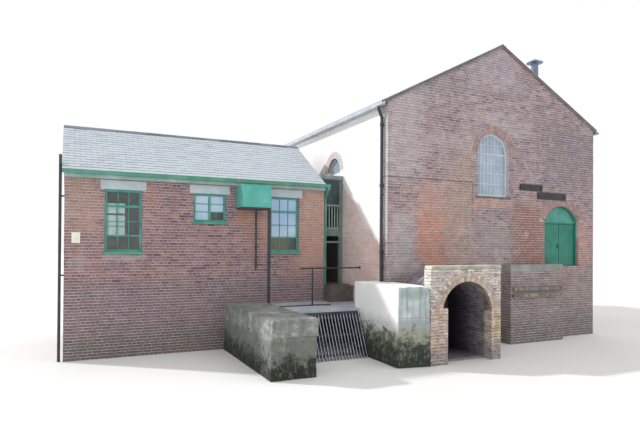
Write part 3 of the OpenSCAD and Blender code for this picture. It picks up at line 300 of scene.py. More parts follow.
def build_growth():
    """Clumps of algae and moss that close up towards the foot of a wall."""
    group, given, out = new_group("growth", {"Level": 0.9, "Cover": 0.0, "Seed": 0.0})
    place = object_place(group)
    moved = shifted(group, place, given["Seed"])
    near = ease(group, axes(group, place)[2], 0.0, given["Level"], 1.0, 0.0)
    clumps = sums(group, "ADD", noise(group, moved, 4.2, 9.0, 0.8), given["Cover"])
    mask = ease(group, sums(group, "MULTIPLY_ADD", near, 0.25, clumps), 0.62, 0.72)
    group.links.new(times(group, mask, ease(group, near, 0.0, 0.1)), out["Mask"])


def build_lit_tufts():
    """Small pale flecks among the growth, below a given level and fading out towards it."""
    group, given, out = new_group("lit_tufts", {"Level": 1.0, "Seed": 0.0})
    place = object_place(group)
    moved = shifted(group, stretched(group, place, (1.0, 1.0, 0.55)), given["Seed"])
    flecks = ease(group, noise(group, moved, 13.0, 6.0, 0.75), 0.53, 0.64)
    lower = times(group, given["Level"], 0.6)
    near = ease(group, axes(group, place)[2], lower, given["Level"], 1.0, 0.0)
    group.links.new(times(group, flecks, near), out["Mask"])


def build_runs():
    """Long thin streaks that run down a face."""
    group, given, out = new_group("runs", {"Width": 1.0, "Low": 0.5, "High": 0.7})
    place = stretched(group, object_place(group), (9.0, 9.0, 0.55))
    value = noise(group, place, given["Width"], 4.0, 0.6)
    group.links.new(ease(group, value, given["Low"], given["High"]), out["Mask"])


for build in (build_blotches, build_tide, build_growth, build_lit_tufts, build_runs):
    build()
print("groups:", len(bpy.data.node_groups))

# %% [markdown]
# ## Wash, painted sunlight and patches
# Some marks belong to one part of a wall, such as a pale wash that also paints the sunlight on
# the faces turned to it, or a panel of other brick. These masks measure where a point lies,
# along the wall or up it, and let a noise fray the edge, as it frays on the real wall.

# %% Wash, painted sunlight and patches
def build_wash_and_painted_sun():
    """A pale wash on the faces that look to the left and on the level tops, which also paints the
    sunlight that falls there.
    """
    group, given, out = new_group("wash_and_painted_sun", {"Level": 0.6})
    place = object_place(group)
    facing_x, _, facing_z = facing(group)
    left = ease(group, facing_x, -0.8, -0.5, 1.0, 0.0)
    top = ease(group, facing_z, 0.5, 0.8)
    rough = uneven(group, place, 2.4, 7.0, 0.7)
    height = sums(group, "MULTIPLY_ADD", rough, 0.9, axes(group, place)[2])
    dry = ease(group, height, given["Level"], sums(group, "ADD", given["Level"], 0.3))
    group.links.new(times(group, sums(group, "MAXIMUM", left, top), dry), out["Mask"])


def build_patch():
    """A ragged oblong on the front of a wall, between two places along it and two heights."""
    inputs = {"Left": 0.0, "Right": 1.0, "Bottom": 0.0, "Top": 1.0, "Fade": 0.25, "Ragged": 0.5}
    group, given, out = new_group("patch", inputs)
    place = object_place(group)
    x, _, z = axes(group, place)
    rough = uneven(group, place, 1.7, 7.0, 0.7)
    half = times(group, given["Fade"], 0.5)
    steps = []
    for value, start, end in ((x, "Left", "Right"), (z, "Bottom", "Top")):
        frayed = sums(group, "MULTIPLY_ADD", rough, given["Ragged"], value)
        for edge, outside in ((given[start], 0.0), (given[end], 1.0)):
            low, high = sums(group, "SUBTRACT", edge, half), sums(group, "ADD", edge, half)
            steps.append(ease(group, frayed, low, high, outside, 1.0 - outside))
    group.links.new(times(group, *steps), out["Mask"])


def build_wash_above_shadow_line():
    """Limewash on a wall above a slanting line drawn along the pump house's cast shadow: painted
    sunlight above the line, bare shaded brick below.
    """
    inputs = {"Lift": 7.0, "Rise": 0.85, "Lowest": 2.95, "Highest": 5.15}
    group, given, out = new_group("wash_above_shadow_line", inputs)
    place = object_place(group)
    _, y, z = axes(group, place)
    edge = sums(group, "MULTIPLY_ADD", y, given["Rise"], given["Lift"])
    edge = sums(group, "MAXIMUM", sums(group, "MINIMUM", edge, given["Highest"]), given["Lowest"])
    frayed = sums(group, "MULTIPLY_ADD", uneven(group, place, 2.4, 8.0, 0.75), 0.6, z)
    group.links.new(ease(group, sums(group, "SUBTRACT", frayed, edge), -0.05, 0.1), out["Mask"])


for build in (build_wash_and_painted_sun, build_patch, build_wash_above_shadow_line):
    build()
print("groups:", len(bpy.data.node_groups))

# %% [markdown]
# ## Places without daylight
# The link has a roof and the culvert is deep, so little daylight reaches the walls there.
# Soft studio light would still brighten them, so both masks paint in their shade. Both masks
# are given as places in metres, and fade over a short way, because the real edge of such a
# dark place is clean.

# %% Places without daylight
def build_link_shade():
    """Painted shade on the wall inside the covered link, fading out behind it."""
    group, given, out = new_group("covered", {"Front": -2.4, "Back": 0.0, "Top": 5.12})
    _, y, z = axes(group, object_place(group))
    beyond = ease(group, y, given["Front"], sums(group, "ADD", given["Front"], 0.04))
    below = ease(group, z, sums(group, "SUBTRACT", given["Top"], 0.04), given["Top"], 1.0, 0.0)
    before = ease(group, y, given["Back"], sums(group, "ADD", given["Back"], 1.8), 1.0, 0.0)
    group.links.new(times(group, beyond, below, before), out["Mask"])


def build_deep_in():
    """Painted shade that deepens with the way in, but only inside an arch."""
    inputs = {"First": 0.0, "Last": 1.0, "End": 2.0, "Middle": 0.0, "Spring": 1.0, "Reach": 1.0}
    group, given, out = new_group("deep_in", inputs)
    x, y, z = axes(group, object_place(group))
    across = sums(group, "SUBTRACT", x, given["Middle"])
    above = sums(group, "MAXIMUM", sums(group, "SUBTRACT", z, given["Spring"]), 0.0)
    squared = sums(group, "MULTIPLY_ADD", across, across, times(group, above, above))
    near, far = (sums(group, way, given["Reach"], 0.02) for way in ("SUBTRACT", "ADD"))
    inside = ease(group, sums(group, "SQRT", squared), near, far, 1.0, 0.0)
    before = ease(group, y, given["End"], sums(group, "ADD", given["End"], 0.02), 1.0, 0.0)
    depth = ease(group, y, given["First"], given["Last"])
    group.links.new(times(group, depth, before, inside), out["Mask"])


build_link_shade()
build_deep_in()
print("groups:", len(bpy.data.node_groups))

# %% [markdown]
# ## A material and its stains
# Every finish starts as an empty material with one Principled shader. A stain is a mask and a
# colour that is laid over what is there already, so a list of stains reads like the history
# of the wall: soot first, lime bloom over it, moss last.

# %% A material and its stains
def new_material(name, specular=0.5):
    made = bpy.data.materials.new(name)
    made.use_nodes = True
    tree = made.node_tree
    shader = tree.nodes["Principled BSDF"]
    shader.inputs["Specular IOR Level"].default_value = specular
    return made, tree, shader


def stain(tree, colour, mask, shade, strength, mode="MIX"):
    return blend(tree, times(tree, mask, strength), colour, shade, mode)


def lay_stains(tree, colour, stains):
    for kind, values, shade, strength in stains:
        colour = stain(tree, colour, use(tree, kind, **values), paint(shade), strength)
    return colour


def base_colour(made):
    """The tree of a finished material, its Base Color socket and the colour that feeds it."""
    socket = made.node_tree.nodes["Principled BSDF"].inputs["Base Color"]
    return made.node_tree, socket, socket.links[0].from_socket


def lay_over(made, *stains):
    """Lays stains on a finished material, over bricks and joints alike."""
    tree, socket, colour = base_colour(made)
    tree.links.new(lay_stains(tree, colour, stains), socket)


def stain_kind(kind, *titles):
    """Makes a way to write one kind of stain: its inputs in order, then colour and strength."""
    return lambda *given: (kind, dict(zip(titles, given)), *given[len(titles):])


blotches = stain_kind("blotches", "Size", "Low", "High", "Seed")
tide = stain_kind("tide", "Level", "Fade", "Ragged")
growth = stain_kind("growth", "Level", "Cover", "Seed")
lit_tufts = stain_kind("lit_tufts", "Level", "Seed")
runs = stain_kind("runs", "Width", "Low", "High")
wash_and_painted_sun = stain_kind("wash_and_painted_sun", "Level")
patch = stain_kind("patch", "Left", "Right", "Bottom", "Top", "Fade", "Ragged")
wash_above_shadow_line = stain_kind("wash_above_shadow_line", "Lift", "Rise", "Lowest", "Highest")
covered = stain_kind("covered", "Front", "Back", "Top")
deep_in = stain_kind("deep_in", "First", "Last", "End", "Middle", "Spring", "Reach")
print("a stain as it is written:", tide(0.4, 0.6, 0.5, (92, 96, 78), 0.5))

# %% [markdown]
# ## Colour, grain and bump
# Clay, concrete, slate and paint share these last steps: a ramp that turns a tone into a
# colour, a speckle that darkens it, and a bump that lets the same speckle catch the light.

# %% Colour, grain and bump
def ramp(tree, value, stops):
    made = add(tree, "ShaderNodeValToRGB", {0: value})
    band = made.color_ramp
    while len(band.elements) < len(stops):
        band.elements.new(0.5)
    for element, (position, colour) in zip(band.elements, stops):
        element.position = position
        element.color = colour
    return made.outputs[0]


def spread(colours):
    """Places a list of colours evenly along a ramp."""
    return [(i / (len(colours) - 1), paint(colour)) for i, colour in enumerate(colours)]


def speckle(tree, colour, share, shade, **values):
    """Darkens a colour by the grain, and gives back the grain for the roughness and the bump."""
    grain = use(tree, "grain", "Value", **values)
    return stain(tree, colour, grain.node.outputs["Dark"], shade, share, "MULTIPLY"), grain


def bump(tree, shader, height, depth, strength):
    made = add(tree, "ShaderNodeBump", {"Height": height, "Distance": depth, "Strength": strength})
    tree.links.new(made.outputs[0], shader.inputs["Normal"])


def finish_with(tree, shader, colour, roughness):
    tree.links.new(colour, shader.inputs["Base Color"])
    if isinstance(roughness, bpy.types.NodeSocket):
        tree.links.new(roughness, shader.inputs["Roughness"])
    else:
        shader.inputs["Roughness"].default_value = roughness


print("material helpers ready")

# %% [markdown]
# ## Brickwork
# The walls are soft clay bricks laid in lime mortar, four courses to about 300 mm, with a row
# of headers every fourth course. Single bricks could be modelled, but ten thousand of them
# would add little at this distance. A brick texture at true size gives each brick its own
# tone, and the joints drive a bump. The stains are laid over both.

# %% Brickwork
JOINT = 0.0085
JOINT_SHARE = 0.9
BLUISH_DARK = (0.7, 0.7, 0.72, 1)


def brick_material(name, tones, joint_colour, course, stains, open_joint=None, joint_shadow=0.6):
    made, tree, shader = new_material(name, specular=0.25)
    place = object_place(tree)
    courses = use(tree, "brick_courses", "Tone", Course=course, Joint=JOINT).node.outputs
    joints = courses["Joints"]
    colour = ramp(tree, courses["Tone"], spread(tones))
    fine = {"Size": 55.0, "Detail": 4.0, "Rough": 0.7, "High": 0.6}
    colour, grain = speckle(tree, colour, 0.45, BLUISH_DARK, **fine)
    cloud = use(tree, "blotches", Size=0.9, Low=0.35, High=0.65, Seed=3.0)
    colour = stain(tree, colour, cloud, (0.8, 0.8, 0.86, 1), 0.6, "MULTIPLY")
    colour = lay_stains(tree, colour, stains)
    # Painted shadow under each bed joint.
    colour = stain(tree, colour, courses["JointShadow"], (0.42, 0.38, 0.4, 1), joint_shadow, "MULTIPLY")
    pointing = paint(joint_colour)
    if open_joint:
        lost = ease(tree, noise(tree, place, 4.5, 5.0, 0.7), 0.42, 0.55)
        pointing = blend(tree, lost, pointing, paint(open_joint))
    worn = times(tree, joints, ease(tree, noise(tree, place, 6.0), 0.3, 0.55, 0.45, 1.0))
    colour = stain(tree, colour, worn, pointing, JOINT_SHARE)
    finish_with(tree, shader, colour, ease(tree, grain, 0.3, 0.7, 0.78, 0.96))
    bump(tree, shader, sums(tree, "SUBTRACT", times(tree, grain, 0.35), joints), 0.006, 0.7)
    return made


LIME = (206, 200, 200)
SOOT = (84, 78, 84)
MOSS = (92, 96, 78)
ORANGE = (196, 132, 108)

# %% [markdown]
# ## Brick of the pump house
# Its bricks run from plum to orange, with redder ones near the windows and below the hood.
# The inner faces could be left bare, but courses would then show through the clear panes, so
# they get a calm dark coat, dark as painted shade for the dim room. The gable that faces the
# link is a copy with painted shade inside the link.

# %% Brick of the pump house
PUMP_COURSE = 0.0755
pump_brick = brick_material(
    "pump_house_brick",
    [
        (110, 90, 104), (138, 111, 117), (164, 125, 120),
        (148, 117, 121), (181, 143, 128), (128, 105, 115),
    ],
    (208, 204, 212),
    PUMP_COURSE,
    [
        blotches(0.5, 0.5, 0.72, 11.0, (182, 134, 114), 0.35),
        blotches(1.9, 0.55, 0.66, 61.0, (176, 158, 140), 0.3),
        blotches(2.6, 0.56, 0.66, 67.0, (112, 88, 104), 0.4),
        patch(-7.35, -6.25, 2.55, 2.68, 0.12, 0.3, LIME, 0.4),
        patch(-3.75, -2.95, 3.55, 3.95, 0.3, 0.5, (178, 130, 98), 0.6),
        patch(-3.0, -2.75, 3.0, 3.9, 0.25, 0.4, (186, 138, 106), 0.55),
        patch(-1.8, -0.6, 2.3, 4.9, 0.7, 0.8, (214, 168, 142), 0.6),
        patch(-3.6, -2.6, 2.8, 4.2, 0.7, 0.8, (194, 146, 118), 0.35),
        patch(-8.4, -7.3, 3.4, 4.8, 0.5, 0.8, (190, 160, 140), 0.4),
        blotches(2.2, 0.58, 0.75, 5.0, SOOT, 0.35),
        blotches(1.3, 0.56, 0.72, 41.0, (196, 186, 186), 0.35),
        tide(1.85, 0.25, 0.15, (120, 110, 116), 0.5),
        tide(0.4, 0.6, 0.5, MOSS, 0.5),
    ],
    open_joint=(190, 182, 188),
)


COAT_SHARE, COAT_FADE = 0.92, 0.02


def shade_room_inside(made, near, far, coat):
    """Paints what lies between two corners of the room in a calm dark tone and a slightly paler
    one, as painted shade for the dim room.
    """
    tree, socket, colour = base_colour(made)
    place = object_place(tree)
    inside = []
    for value, start, end in zip(axes(tree, place), near, far):
        inside.append(ease(tree, value, start - COAT_FADE, start))
        inside.append(ease(tree, value, end, end + COAT_FADE, 1.0, 0.0))
    paler = tuple(c * 1.25 for c in coat)
    soft = ramp(tree, noise(tree, place, 0.8), [(0.3, coat), (0.7, paler)])
    tree.links.new(blend(tree, times(tree, *inside, COAT_SHARE), colour, soft), socket)


near = (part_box("pump_left_gable")[1][0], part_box("pump_front_wall")[1][1], 0.0)
far = (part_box("pump_right_gable")[0][0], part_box("pump_back_wall")[0][1], 7.0)
# Painted shade for the dim room behind the panes.
shade_room_inside(pump_brick, near, far, paint((92, 92, 104)))
# Painted shade inside the covered link.
LINK_SHADE = covered(-2.4, 0.0, 5.12, (52, 52, 58), 0.9)
pump_gable_brick_shaded = pump_brick.copy()
pump_gable_brick_shaded.name = "pump_gable_brick_shaded"
lay_over(pump_gable_brick_shaded, LINK_SHADE)
print("inside from", [round(c, 3) for c in near], "to", [round(c, 3) for c in far])

# %% [markdown]
# ## Brick of the engine house
# The tall front is greyer and carries more marks: a red panel of other bricks, two thin dark
# lines, pale lime runs and darker brick on the right. Each of them is a patch with its place
# along the wall and its height, in metres, and a fade and a raggedness for its edge.

# %% Brick of the engine house
ENGINE_COURSE = 0.077
# Painted shade: black on this wall where the culvert ends, as no light gets that far in.
CULVERT_END_SHADE = deep_in(-5.4, -5.3, -5.1, 1.131, 1.27, 0.86, (30, 28, 36), 0.96)
engine_brick = brick_material(
    "engine_house_brick",
    [
        (127, 113, 124), (148, 132, 139), (174, 148, 145),
        (158, 142, 147), (188, 164, 157), (138, 124, 133),
    ],
    (222, 217, 222),
    ENGINE_COURSE,
    [
        blotches(0.45, 0.45, 0.7, 21.0, (182, 138, 124), 0.4),
        patch(0.78, 1.6, 3.4, 4.75, 0.4, 1.1, (202, 146, 124), 0.5),
        patch(0.86, 1.8, 2.3, 3.85, 0.25, 0.9, (206, 128, 100), 0.68),
        patch(0.9, 2.1, 2.2, 4.8, 0.5, 1.2, (194, 152, 132), 0.4),
        patch(4.4, 5.9, 2.2, 4.3, 0.7, 1.2, (148, 102, 84), 0.8),
        patch(6.9, 8.0, 2.2, 4.0, 0.8, 1.2, ORANGE, 0.35),
        patch(1.9, 2.8, 2.6, 5.9, 0.8, 1.0, (184, 156, 130), 0.45),
        patch(-0.1, 0.75, 2.0, 3.9, 0.5, 1.5, LIME, 0.4),
        patch(0.0, 2.2, 7.1, 7.9, 0.9, 1.5, (150, 146, 148), 0.45),
        patch(1.0, 3.2, 5.75, 6.3, 0.5, 2.2, LIME, 0.3),
        patch(2.6, 5.2, 6.5, 7.0, 0.5, 2.2, LIME, 0.3),
        patch(5.6, 8.2, 4.8, 7.0, 0.8, 1.5, (122, 112, 118), 0.55),
        patch(2.6, 4.8, 7.7, 9.2, 0.8, 1.4, (184, 178, 190), 0.35),
        patch(-0.3, 0.9, 4.9, 7.4, 0.8, 1.6, (208, 198, 196), 0.45),
        patch(2.85, 4.45, 4.15, 4.45, 0.15, 0.5, (208, 160, 138), 0.5),
        patch(2.6, 4.6, 2.7, 3.7, 0.8, 1.4, (156, 152, 146), 0.5),
        # Pale on the faces to the left and the tops: wash and painted sunlight.
        wash_and_painted_sun(3.1, (212, 209, 210), 0.8),
        patch(-0.2, 2.8, 4.87, 4.9, 0.03, 0.07, SOOT, 0.8),
        patch(2.8, 2.83, 3.7, 4.88, 0.03, 0.05, SOOT, 0.7),
        blotches(1.6, 0.56, 0.72, 8.0, LIME, 0.4),
        blotches(3.1, 0.6, 0.75, 31.0, SOOT, 0.35),
        blotches(2.3, 0.55, 0.66, 71.0, (126, 104, 112), 0.4),
        tide(1.9, 0.5, 0.5, (128, 120, 116), 0.5),
        tide(0.4, 0.6, 0.6, MOSS, 0.5),
    ],
    open_joint=(184, 174, 178),
)
lay_over(engine_brick, CULVERT_END_SHADE)

# %% [markdown]
# ## The limewashed wall
# The side wall towards the pump house was limewashed over and over. The wash hides the brick
# but not its courses, so this is the same brickwork in pale tones. The wash is laid down to a
# slanting line that follows the shadow the pump house casts, so above it the wash is also
# painted sunlight and below it the shaded brick shows bare. Inside the link it gets painted shade.

# %% The limewashed wall
limewashed_brick = brick_material(
    "limewashed_brick",
    [(224, 204, 204), (244, 218, 210), (250, 226, 216), (236, 214, 214)],
    (234, 230, 232),
    ENGINE_COURSE,
    [
        blotches(1.1, 0.45, 0.6, 25.0, (222, 176, 158), 0.45),
        blotches(1.9, 0.5, 0.64, 51.0, (216, 212, 216), 0.5),
    ],
    joint_shadow=0.2,
)
# Painted sunlight above the shadow line, painted shade inside the link.
lay_over(limewashed_brick, wash_above_shadow_line(7.0, 0.85, 2.95, 5.15, (244, 244, 243), 0.92), LINK_SHADE)
print("walls:", pump_brick.name, engine_brick.name, limewashed_brick.name)

# %% [markdown]
# ## Brick of the portal and the culvert
# The portal is pale and badly weathered, with open black joints. The barrel behind it is
# damp, and no daylight reaches far into it, so painted shade darkens it with the way in.

# %% Brick of the portal and the culvert
PORTAL_COURSE = 0.075
portal_brick = brick_material(
    "portal_brick",
    [
        (164, 152, 146), (214, 204, 198), (231, 223, 215),
        (192, 178, 172), (239, 233, 226), (206, 186, 174),
    ],
    (224, 219, 214),
    PORTAL_COURSE,
    [
        # Pale on the faces to the left and the tops: wash and painted sunlight.
        wash_and_painted_sun(1.2, (228, 224, 216), 0.8),
        blotches(1.8, 0.52, 0.7, 2.0, (224, 218, 210), 0.4),
        blotches(3.5, 0.56, 0.68, 9.0, SOOT, 0.5),
        blotches(5.5, 0.56, 0.66, 44.0, (232, 226, 220), 0.5),
        patch(-0.1, 0.5, 0.3, 1.45, 0.3, 0.4, (186, 146, 116), 0.45),
        patch(1.95, 2.4, 0.4, 1.5, 0.4, 0.6, (196, 170, 116), 0.55),
        tide(0.2, 0.45, 0.5, (110, 104, 100), 0.6),
    ],
    open_joint=(80, 72, 70),
)
barrel_brick = brick_material(
    "barrel_brick",
    [(118, 112, 122), (156, 148, 154), (168, 160, 166), (134, 126, 136)],
    (172, 168, 170),
    PORTAL_COURSE,
    [tide(0.1, 0.2, 0.3, (128, 124, 136), 0.7)],
    open_joint=(60, 54, 56),
)
# Painted shade that deepens into the barrel.
lay_over(barrel_brick, deep_in(-6.6, -5.3, 0.0, 1.131, 1.27, 0.92, (44, 44, 62), 0.96))
print("portal and culvert:", portal_brick.name, barrel_brick.name)

# %% [markdown]
# ## Concrete and stone
# Concrete is a cloud of three greys with grit in it, and rain leaves pale and dark streaks on
# it. One builder serves the cast concrete, the mortar and the stone, which differ only in
# their greys and their stains.

# %% Concrete and stone
def concrete_material(name, dark, mid, pale, stains=()):
    made, tree, shader = new_material(name, specular=0.3)
    place = object_place(tree)
    cloud = noise(tree, place, 2.6, 8.0, 0.65)
    colour = ramp(tree, cloud, [(0.28, paint(dark)), (0.5, paint(mid)), (0.72, paint(pale))])
    colour, grit = speckle(tree, colour, 0.4, (0.7, 0.7, 0.7, 1), Size=90.0, Detail=3.0, Rough=0.7)
    streaks = [runs(1.0, 0.55, 0.75, pale, 0.45), runs(0.7, 0.6, 0.75, dark, 0.55)]
    colour = lay_stains(tree, colour, [*streaks, *stains])
    finish_with(tree, shader, colour, ease(tree, cloud, 0.3, 0.7, 0.75, 0.95))
    bump(tree, shader, sums(tree, "MULTIPLY_ADD", grit, 0.4, cloud), 0.008, 0.5)
    return made


print("concrete can be mixed")

# %% [markdown]
# ## The intake and its abutment
# Green and black algae climb from the foot of both, in clumps that close up downwards. The
# intake wall is pale on its left side, partly limewash and partly painted sunlight, and was
# cast in lifts, so a thin dark line and a darker band cross its front.

# %% The intake and its abutment
SLIME = (58, 62, 54)

intake_concrete = concrete_material(
    "intake_concrete", (146, 158, 162), (188, 199, 200), (216, 222, 219),
    [
        runs(1.6, 0.5, 0.62, (128, 136, 138), 0.5),
        patch(-0.86, 0.0, 1.7, 1.9, 0.2, 0.4, (128, 144, 142), 0.5),
        patch(-0.86, 0.0, 0.85, 1.16, 0.12, 0.15, (132, 138, 140), 0.6),
        patch(-0.87, 0.0, 1.2, 1.215, 0.02, 0.05, (96, 104, 104), 0.7),
        # Pale on the left side and the tops: limewash and painted sunlight.
        wash_and_painted_sun(0.55, (252, 253, 252), 0.97),
        tide(1.0, 0.3, 0.5, (166, 170, 176), 0.45),
        tide(0.76, 0.25, 0.6, (150, 144, 104), 0.6),
        growth(1.25, 0.08, 2.0, (82, 92, 80), 0.88),
        growth(1.0, 0.05, 7.0, (40, 48, 48), 0.85),
        lit_tufts(1.1, 4.0, (150, 152, 128), 0.6),
        tide(0.0, 0.12, 0.2, SLIME, 0.6),
    ],
)
abutment_concrete = concrete_material(
    "abutment_concrete", (98, 102, 100), (134, 138, 134), (178, 180, 174),
    [
        blotches(5.0, 0.54, 0.66, 33.0, (84, 88, 84), 0.55),
        blotches(4.2, 0.58, 0.68, 37.0, (204, 206, 198), 0.5),
        tide(0.8, 0.12, 0.25, (100, 106, 98), 0.6),
        growth(1.15, 0.0, 12.0, (60, 66, 54), 0.8),
        growth(0.8, 0.02, 15.0, (32, 36, 32), 0.85),
        lit_tufts(1.0, 21.0, (126, 130, 112), 0.55),
        tide(0.0, 0.12, 0.2, SLIME, 0.6),
    ],
)
print("intake finishes:", intake_concrete.name, abutment_concrete.name)

# %% [markdown]
# ## Slabs, lintels and coping
# Floors and ledges are plain concrete, the lintels are painted over a pale grey, and the
# stones on the portal are mottled with lichen.

# %% Slabs, lintels and coping
ledge_concrete = concrete_material(
    "ledge_concrete", (120, 121, 119), (153, 153, 151), (179, 178, 174),
    [blotches(4.0, 0.58, 0.7, 29.0, (104, 108, 94), 0.45)],
)
slab_concrete = concrete_material(
    "slab_concrete", (154, 158, 168), (182, 186, 196), (206, 208, 212),
    [blotches(2.0, 0.55, 0.7, 14.0, (140, 136, 118), 0.4)],
)
damp_concrete = concrete_material(
    "damp_concrete", (84, 80, 78), (108, 102, 98), (136, 130, 124),
    [blotches(2.0, 0.55, 0.7, 17.0, (120, 112, 94), 0.5)],
)
lintel_concrete = concrete_material(
    "lintel_concrete", (176, 188, 196), (194, 205, 212), (208, 216, 220),
    [blotches(4.0, 0.6, 0.75, 7.0, (150, 156, 158), 0.4)],
)
coping_stone = concrete_material(
    "coping_stone", (138, 136, 122), (172, 172, 156), (206, 206, 196),
    [
        # Pale on the tops and the faces to the left: wash and a painted highlight.
        wash_and_painted_sun(0.6, (224, 224, 216), 0.8),
        blotches(3.0, 0.52, 0.66, 12.0, (150, 156, 124), 0.45),
        blotches(7.0, 0.6, 0.7, 18.0, (104, 104, 96), 0.6),
    ],
)
print("slab finishes:", slab_concrete.name, lintel_concrete.name, coping_stone.name)

# %% [markdown]
# ## Paint, metal and timber
# Oil paint on old timber is never one green: it chalks where the rain runs and darkens low
# down. Iron carries rust blooms. These finishes share one builder, which mixes two tones by
# a cloud, adds runs and a second stain, and roughens the worn parts.

# %% Paint, metal and timber
GREY_DARK = (0.72, 0.72, 0.72, 1)
UPRIGHT_GRAIN = {"Size": 60.0, "Rise": 4.0 / 60.0, "Detail": 3.0, "Rough": 0.6}


def coated_material(
    name, main, faded, worn, size=3.0, worn_share=0.5, rough=(0.35, 0.65), depth=0.0015
):
    made, tree, shader = new_material(name)
    cloud = noise(tree, object_place(tree), size, 5.0, 0.6)
    colour = ramp(tree, cloud, [(0.35, paint(main)), (0.68, paint(faded))])
    colour, grain = speckle(tree, colour, 0.35, GREY_DARK, **UPRIGHT_GRAIN)
    wear = use(tree, "blotches", Size=size * 4.0, Low=0.6, High=0.7, Seed=6.0)
    colour = stain(tree, colour, wear, paint(worn), worn_share)
    colour = lay_stains(tree, colour, [runs(1.4, 0.6, 0.78, worn, worn_share * 0.6)])
    finish_with(tree, shader, colour, between(tree, wear, *rough))
    bump(tree, shader, grain, depth, 0.5)
    return made


print("coats can be laid")

# %% [markdown]
# ## The coats
# Each coat is its main colour, the faded one and the one that shows where it has worn. The
# greens differ from door to window to gutter, as they were painted in different years.

# %% The coats
window_green = coated_material("window_green", (54, 140, 122), (88, 168, 154), (128, 166, 156))
fascia_green = coated_material("fascia_green", (134, 172, 164), (184, 199, 194), (206, 211, 208))
lunette_green = coated_material(
    "lunette_green", (60, 142, 126), (84, 160, 148), (112, 158, 148), worn_share=0.35
)
hood_green = coated_material(
    "hood_green", (76, 172, 158), (102, 190, 178), (130, 198, 188), worn_share=0.3
)
door_green = coated_material(
    "door_green", (16, 114, 95), (34, 136, 118), (64, 138, 124), worn_share=0.35
)
gutter_green = coated_material("gutter_green", (72, 138, 118), (98, 158, 140), (136, 160, 150))
board_teal = coated_material("board_teal", (44, 66, 74), (66, 90, 98), (96, 106, 104))
rail_green = coated_material("rail_green", (126, 156, 146), (164, 186, 174), (186, 190, 180))
bar_white = coated_material("bar_white", (196, 204, 212), (222, 226, 230), (170, 170, 166))
gutter_grey = coated_material("gutter_grey", (168, 178, 186), (196, 204, 210), (130, 132, 132))
pipe_iron = coated_material(
    "pipe_iron", (42, 40, 52), (66, 64, 76), (104, 84, 76), worn_share=0.45, rough=(0.45, 0.8)
)
screen_iron = coated_material(
    "screen_iron", (176, 180, 202), (212, 215, 232), (140, 140, 140), rough=(0.45, 0.8)
)
deck_iron = coated_material(
    "deck_iron", (48, 48, 58), (72, 74, 82), (104, 96, 88), worn_share=0.4, rough=(0.45, 0.8)
)
plate_iron = coated_material(
    "plate_iron", (34, 34, 40), (58, 56, 60), (112, 84, 74), size=5.0, rough=(0.5, 0.85)
)
flue_steel = coated_material(
    "flue_steel", (84, 100, 126), (134, 150, 176), (72, 76, 86), rough=(0.35, 0.6)
)
wet_timber = coated_material(
    "wet_timber", (110, 103, 93), (158, 150, 134), (102, 103, 88), rough=(0.7, 0.9), depth=0.004
)
frame_timber = coated_material(
    "frame_timber", (104, 124, 118), (142, 158, 150), (90, 96, 88), rough=(0.6, 0.85), depth=0.003
)
roof_lead = coated_material(
    "roof_lead", (120, 126, 134), (150, 156, 162), (176, 178, 178), rough=(0.45, 0.7)
)
cream_plaque = coated_material(
    "cream_plaque", (236, 233, 220), (244, 242, 232), (204, 198, 178), size=9.0, rough=(0.4, 0.6)
)

print("coats:", window_green.name, "to", cream_plaque.name)

# %% [markdown]
# ## Shadow behind the screen
# The bars of the screen rest on beams that no light reaches. A lamp can't show that in soft
# light, so the same iron is blackened behind the leaning plane of the bars.

# %% Shadow behind the screen
def blacken_behind(made, foot, lean, depth):
    tree, socket, colour = base_colour(made)
    _, y, z = axes(tree, object_place(tree))
    behind = sums(tree, "SUBTRACT", y, sums(tree, "MULTIPLY_ADD", z, lean, foot))
    shadow = ease(tree, behind, depth * 0.5, depth)
    tree.links.new(stain(tree, colour, shadow, paint((22, 22, 26)), 0.93), socket)


SCREEN_FOOT, SCREEN_LEAN, BAR_DEPTH = -5.38, 0.4643, 0.026
blacken_behind(screen_iron, SCREEN_FOOT, SCREEN_LEAN, BAR_DEPTH)
print("black behind", BAR_DEPTH * 1000, "mm of bar")

# %% [markdown]
# ## Glass
# Old glass is not quite flat and not quite clear. The tint drifts a little across a pane, a
# very shallow bump bends what it throws back, and the panes differ in how much they let
# through.

# %% Glass
def glass_material(name, tint, cloudy, through, rough):
    made, tree, shader = new_material(name)
    place = object_place(tree)
    tints = [(0.35, paint(tint)), (0.65, paint(cloudy))]
    drift = ramp(tree, noise(tree, place, 1.7, 2.0, 0.5), tints)
    finish_with(tree, shader, drift, rough)
    shader.inputs["Transmission Weight"].default_value = through
    bump(tree, shader, noise(tree, place, 3.5, 1.0, 0.5), 0.004, 0.15)
    return made


clear_glass = glass_material("clear_glass", (196, 216, 214), (222, 232, 232), 0.95, 0.02)
# Painted reflection: the pale blue stands for the sky these panes throw back.
sky_reflection_glass = glass_material("sky_reflection_glass", (182, 214, 252), (212, 234, 254), 0.28, 0.04)
sky_reflection_shader = sky_reflection_glass.node_tree.nodes["Principled BSDF"]
sky_reflection_shader.inputs["IOR"].default_value = 1.9
sky_reflection_shader.inputs["Specular Tint"].default_value = (0.78, 0.92, 1.0, 1.0)
# Painted reflection: the dark tints stand for the ground these panes throw back.
dark_reflection_glass = glass_material("dark_reflection_glass", (66, 74, 78), (112, 114, 100), 0.2, 0.06)
engine_glass = glass_material("engine_glass", (168, 192, 218), (200, 218, 238), 0.35, 0.1)
print("materials so far:", len(bpy.data.materials))

# %% [markdown]
# ## Finishes with a tone for each piece
# Each slate is a thin sheet of its own, so each has a tone of its own. That tone is stored on
# the mesh as an attribute while the slates are laid, and the finish reads it back. Ridge
# tiles and the bricks of the arches use the same attribute.

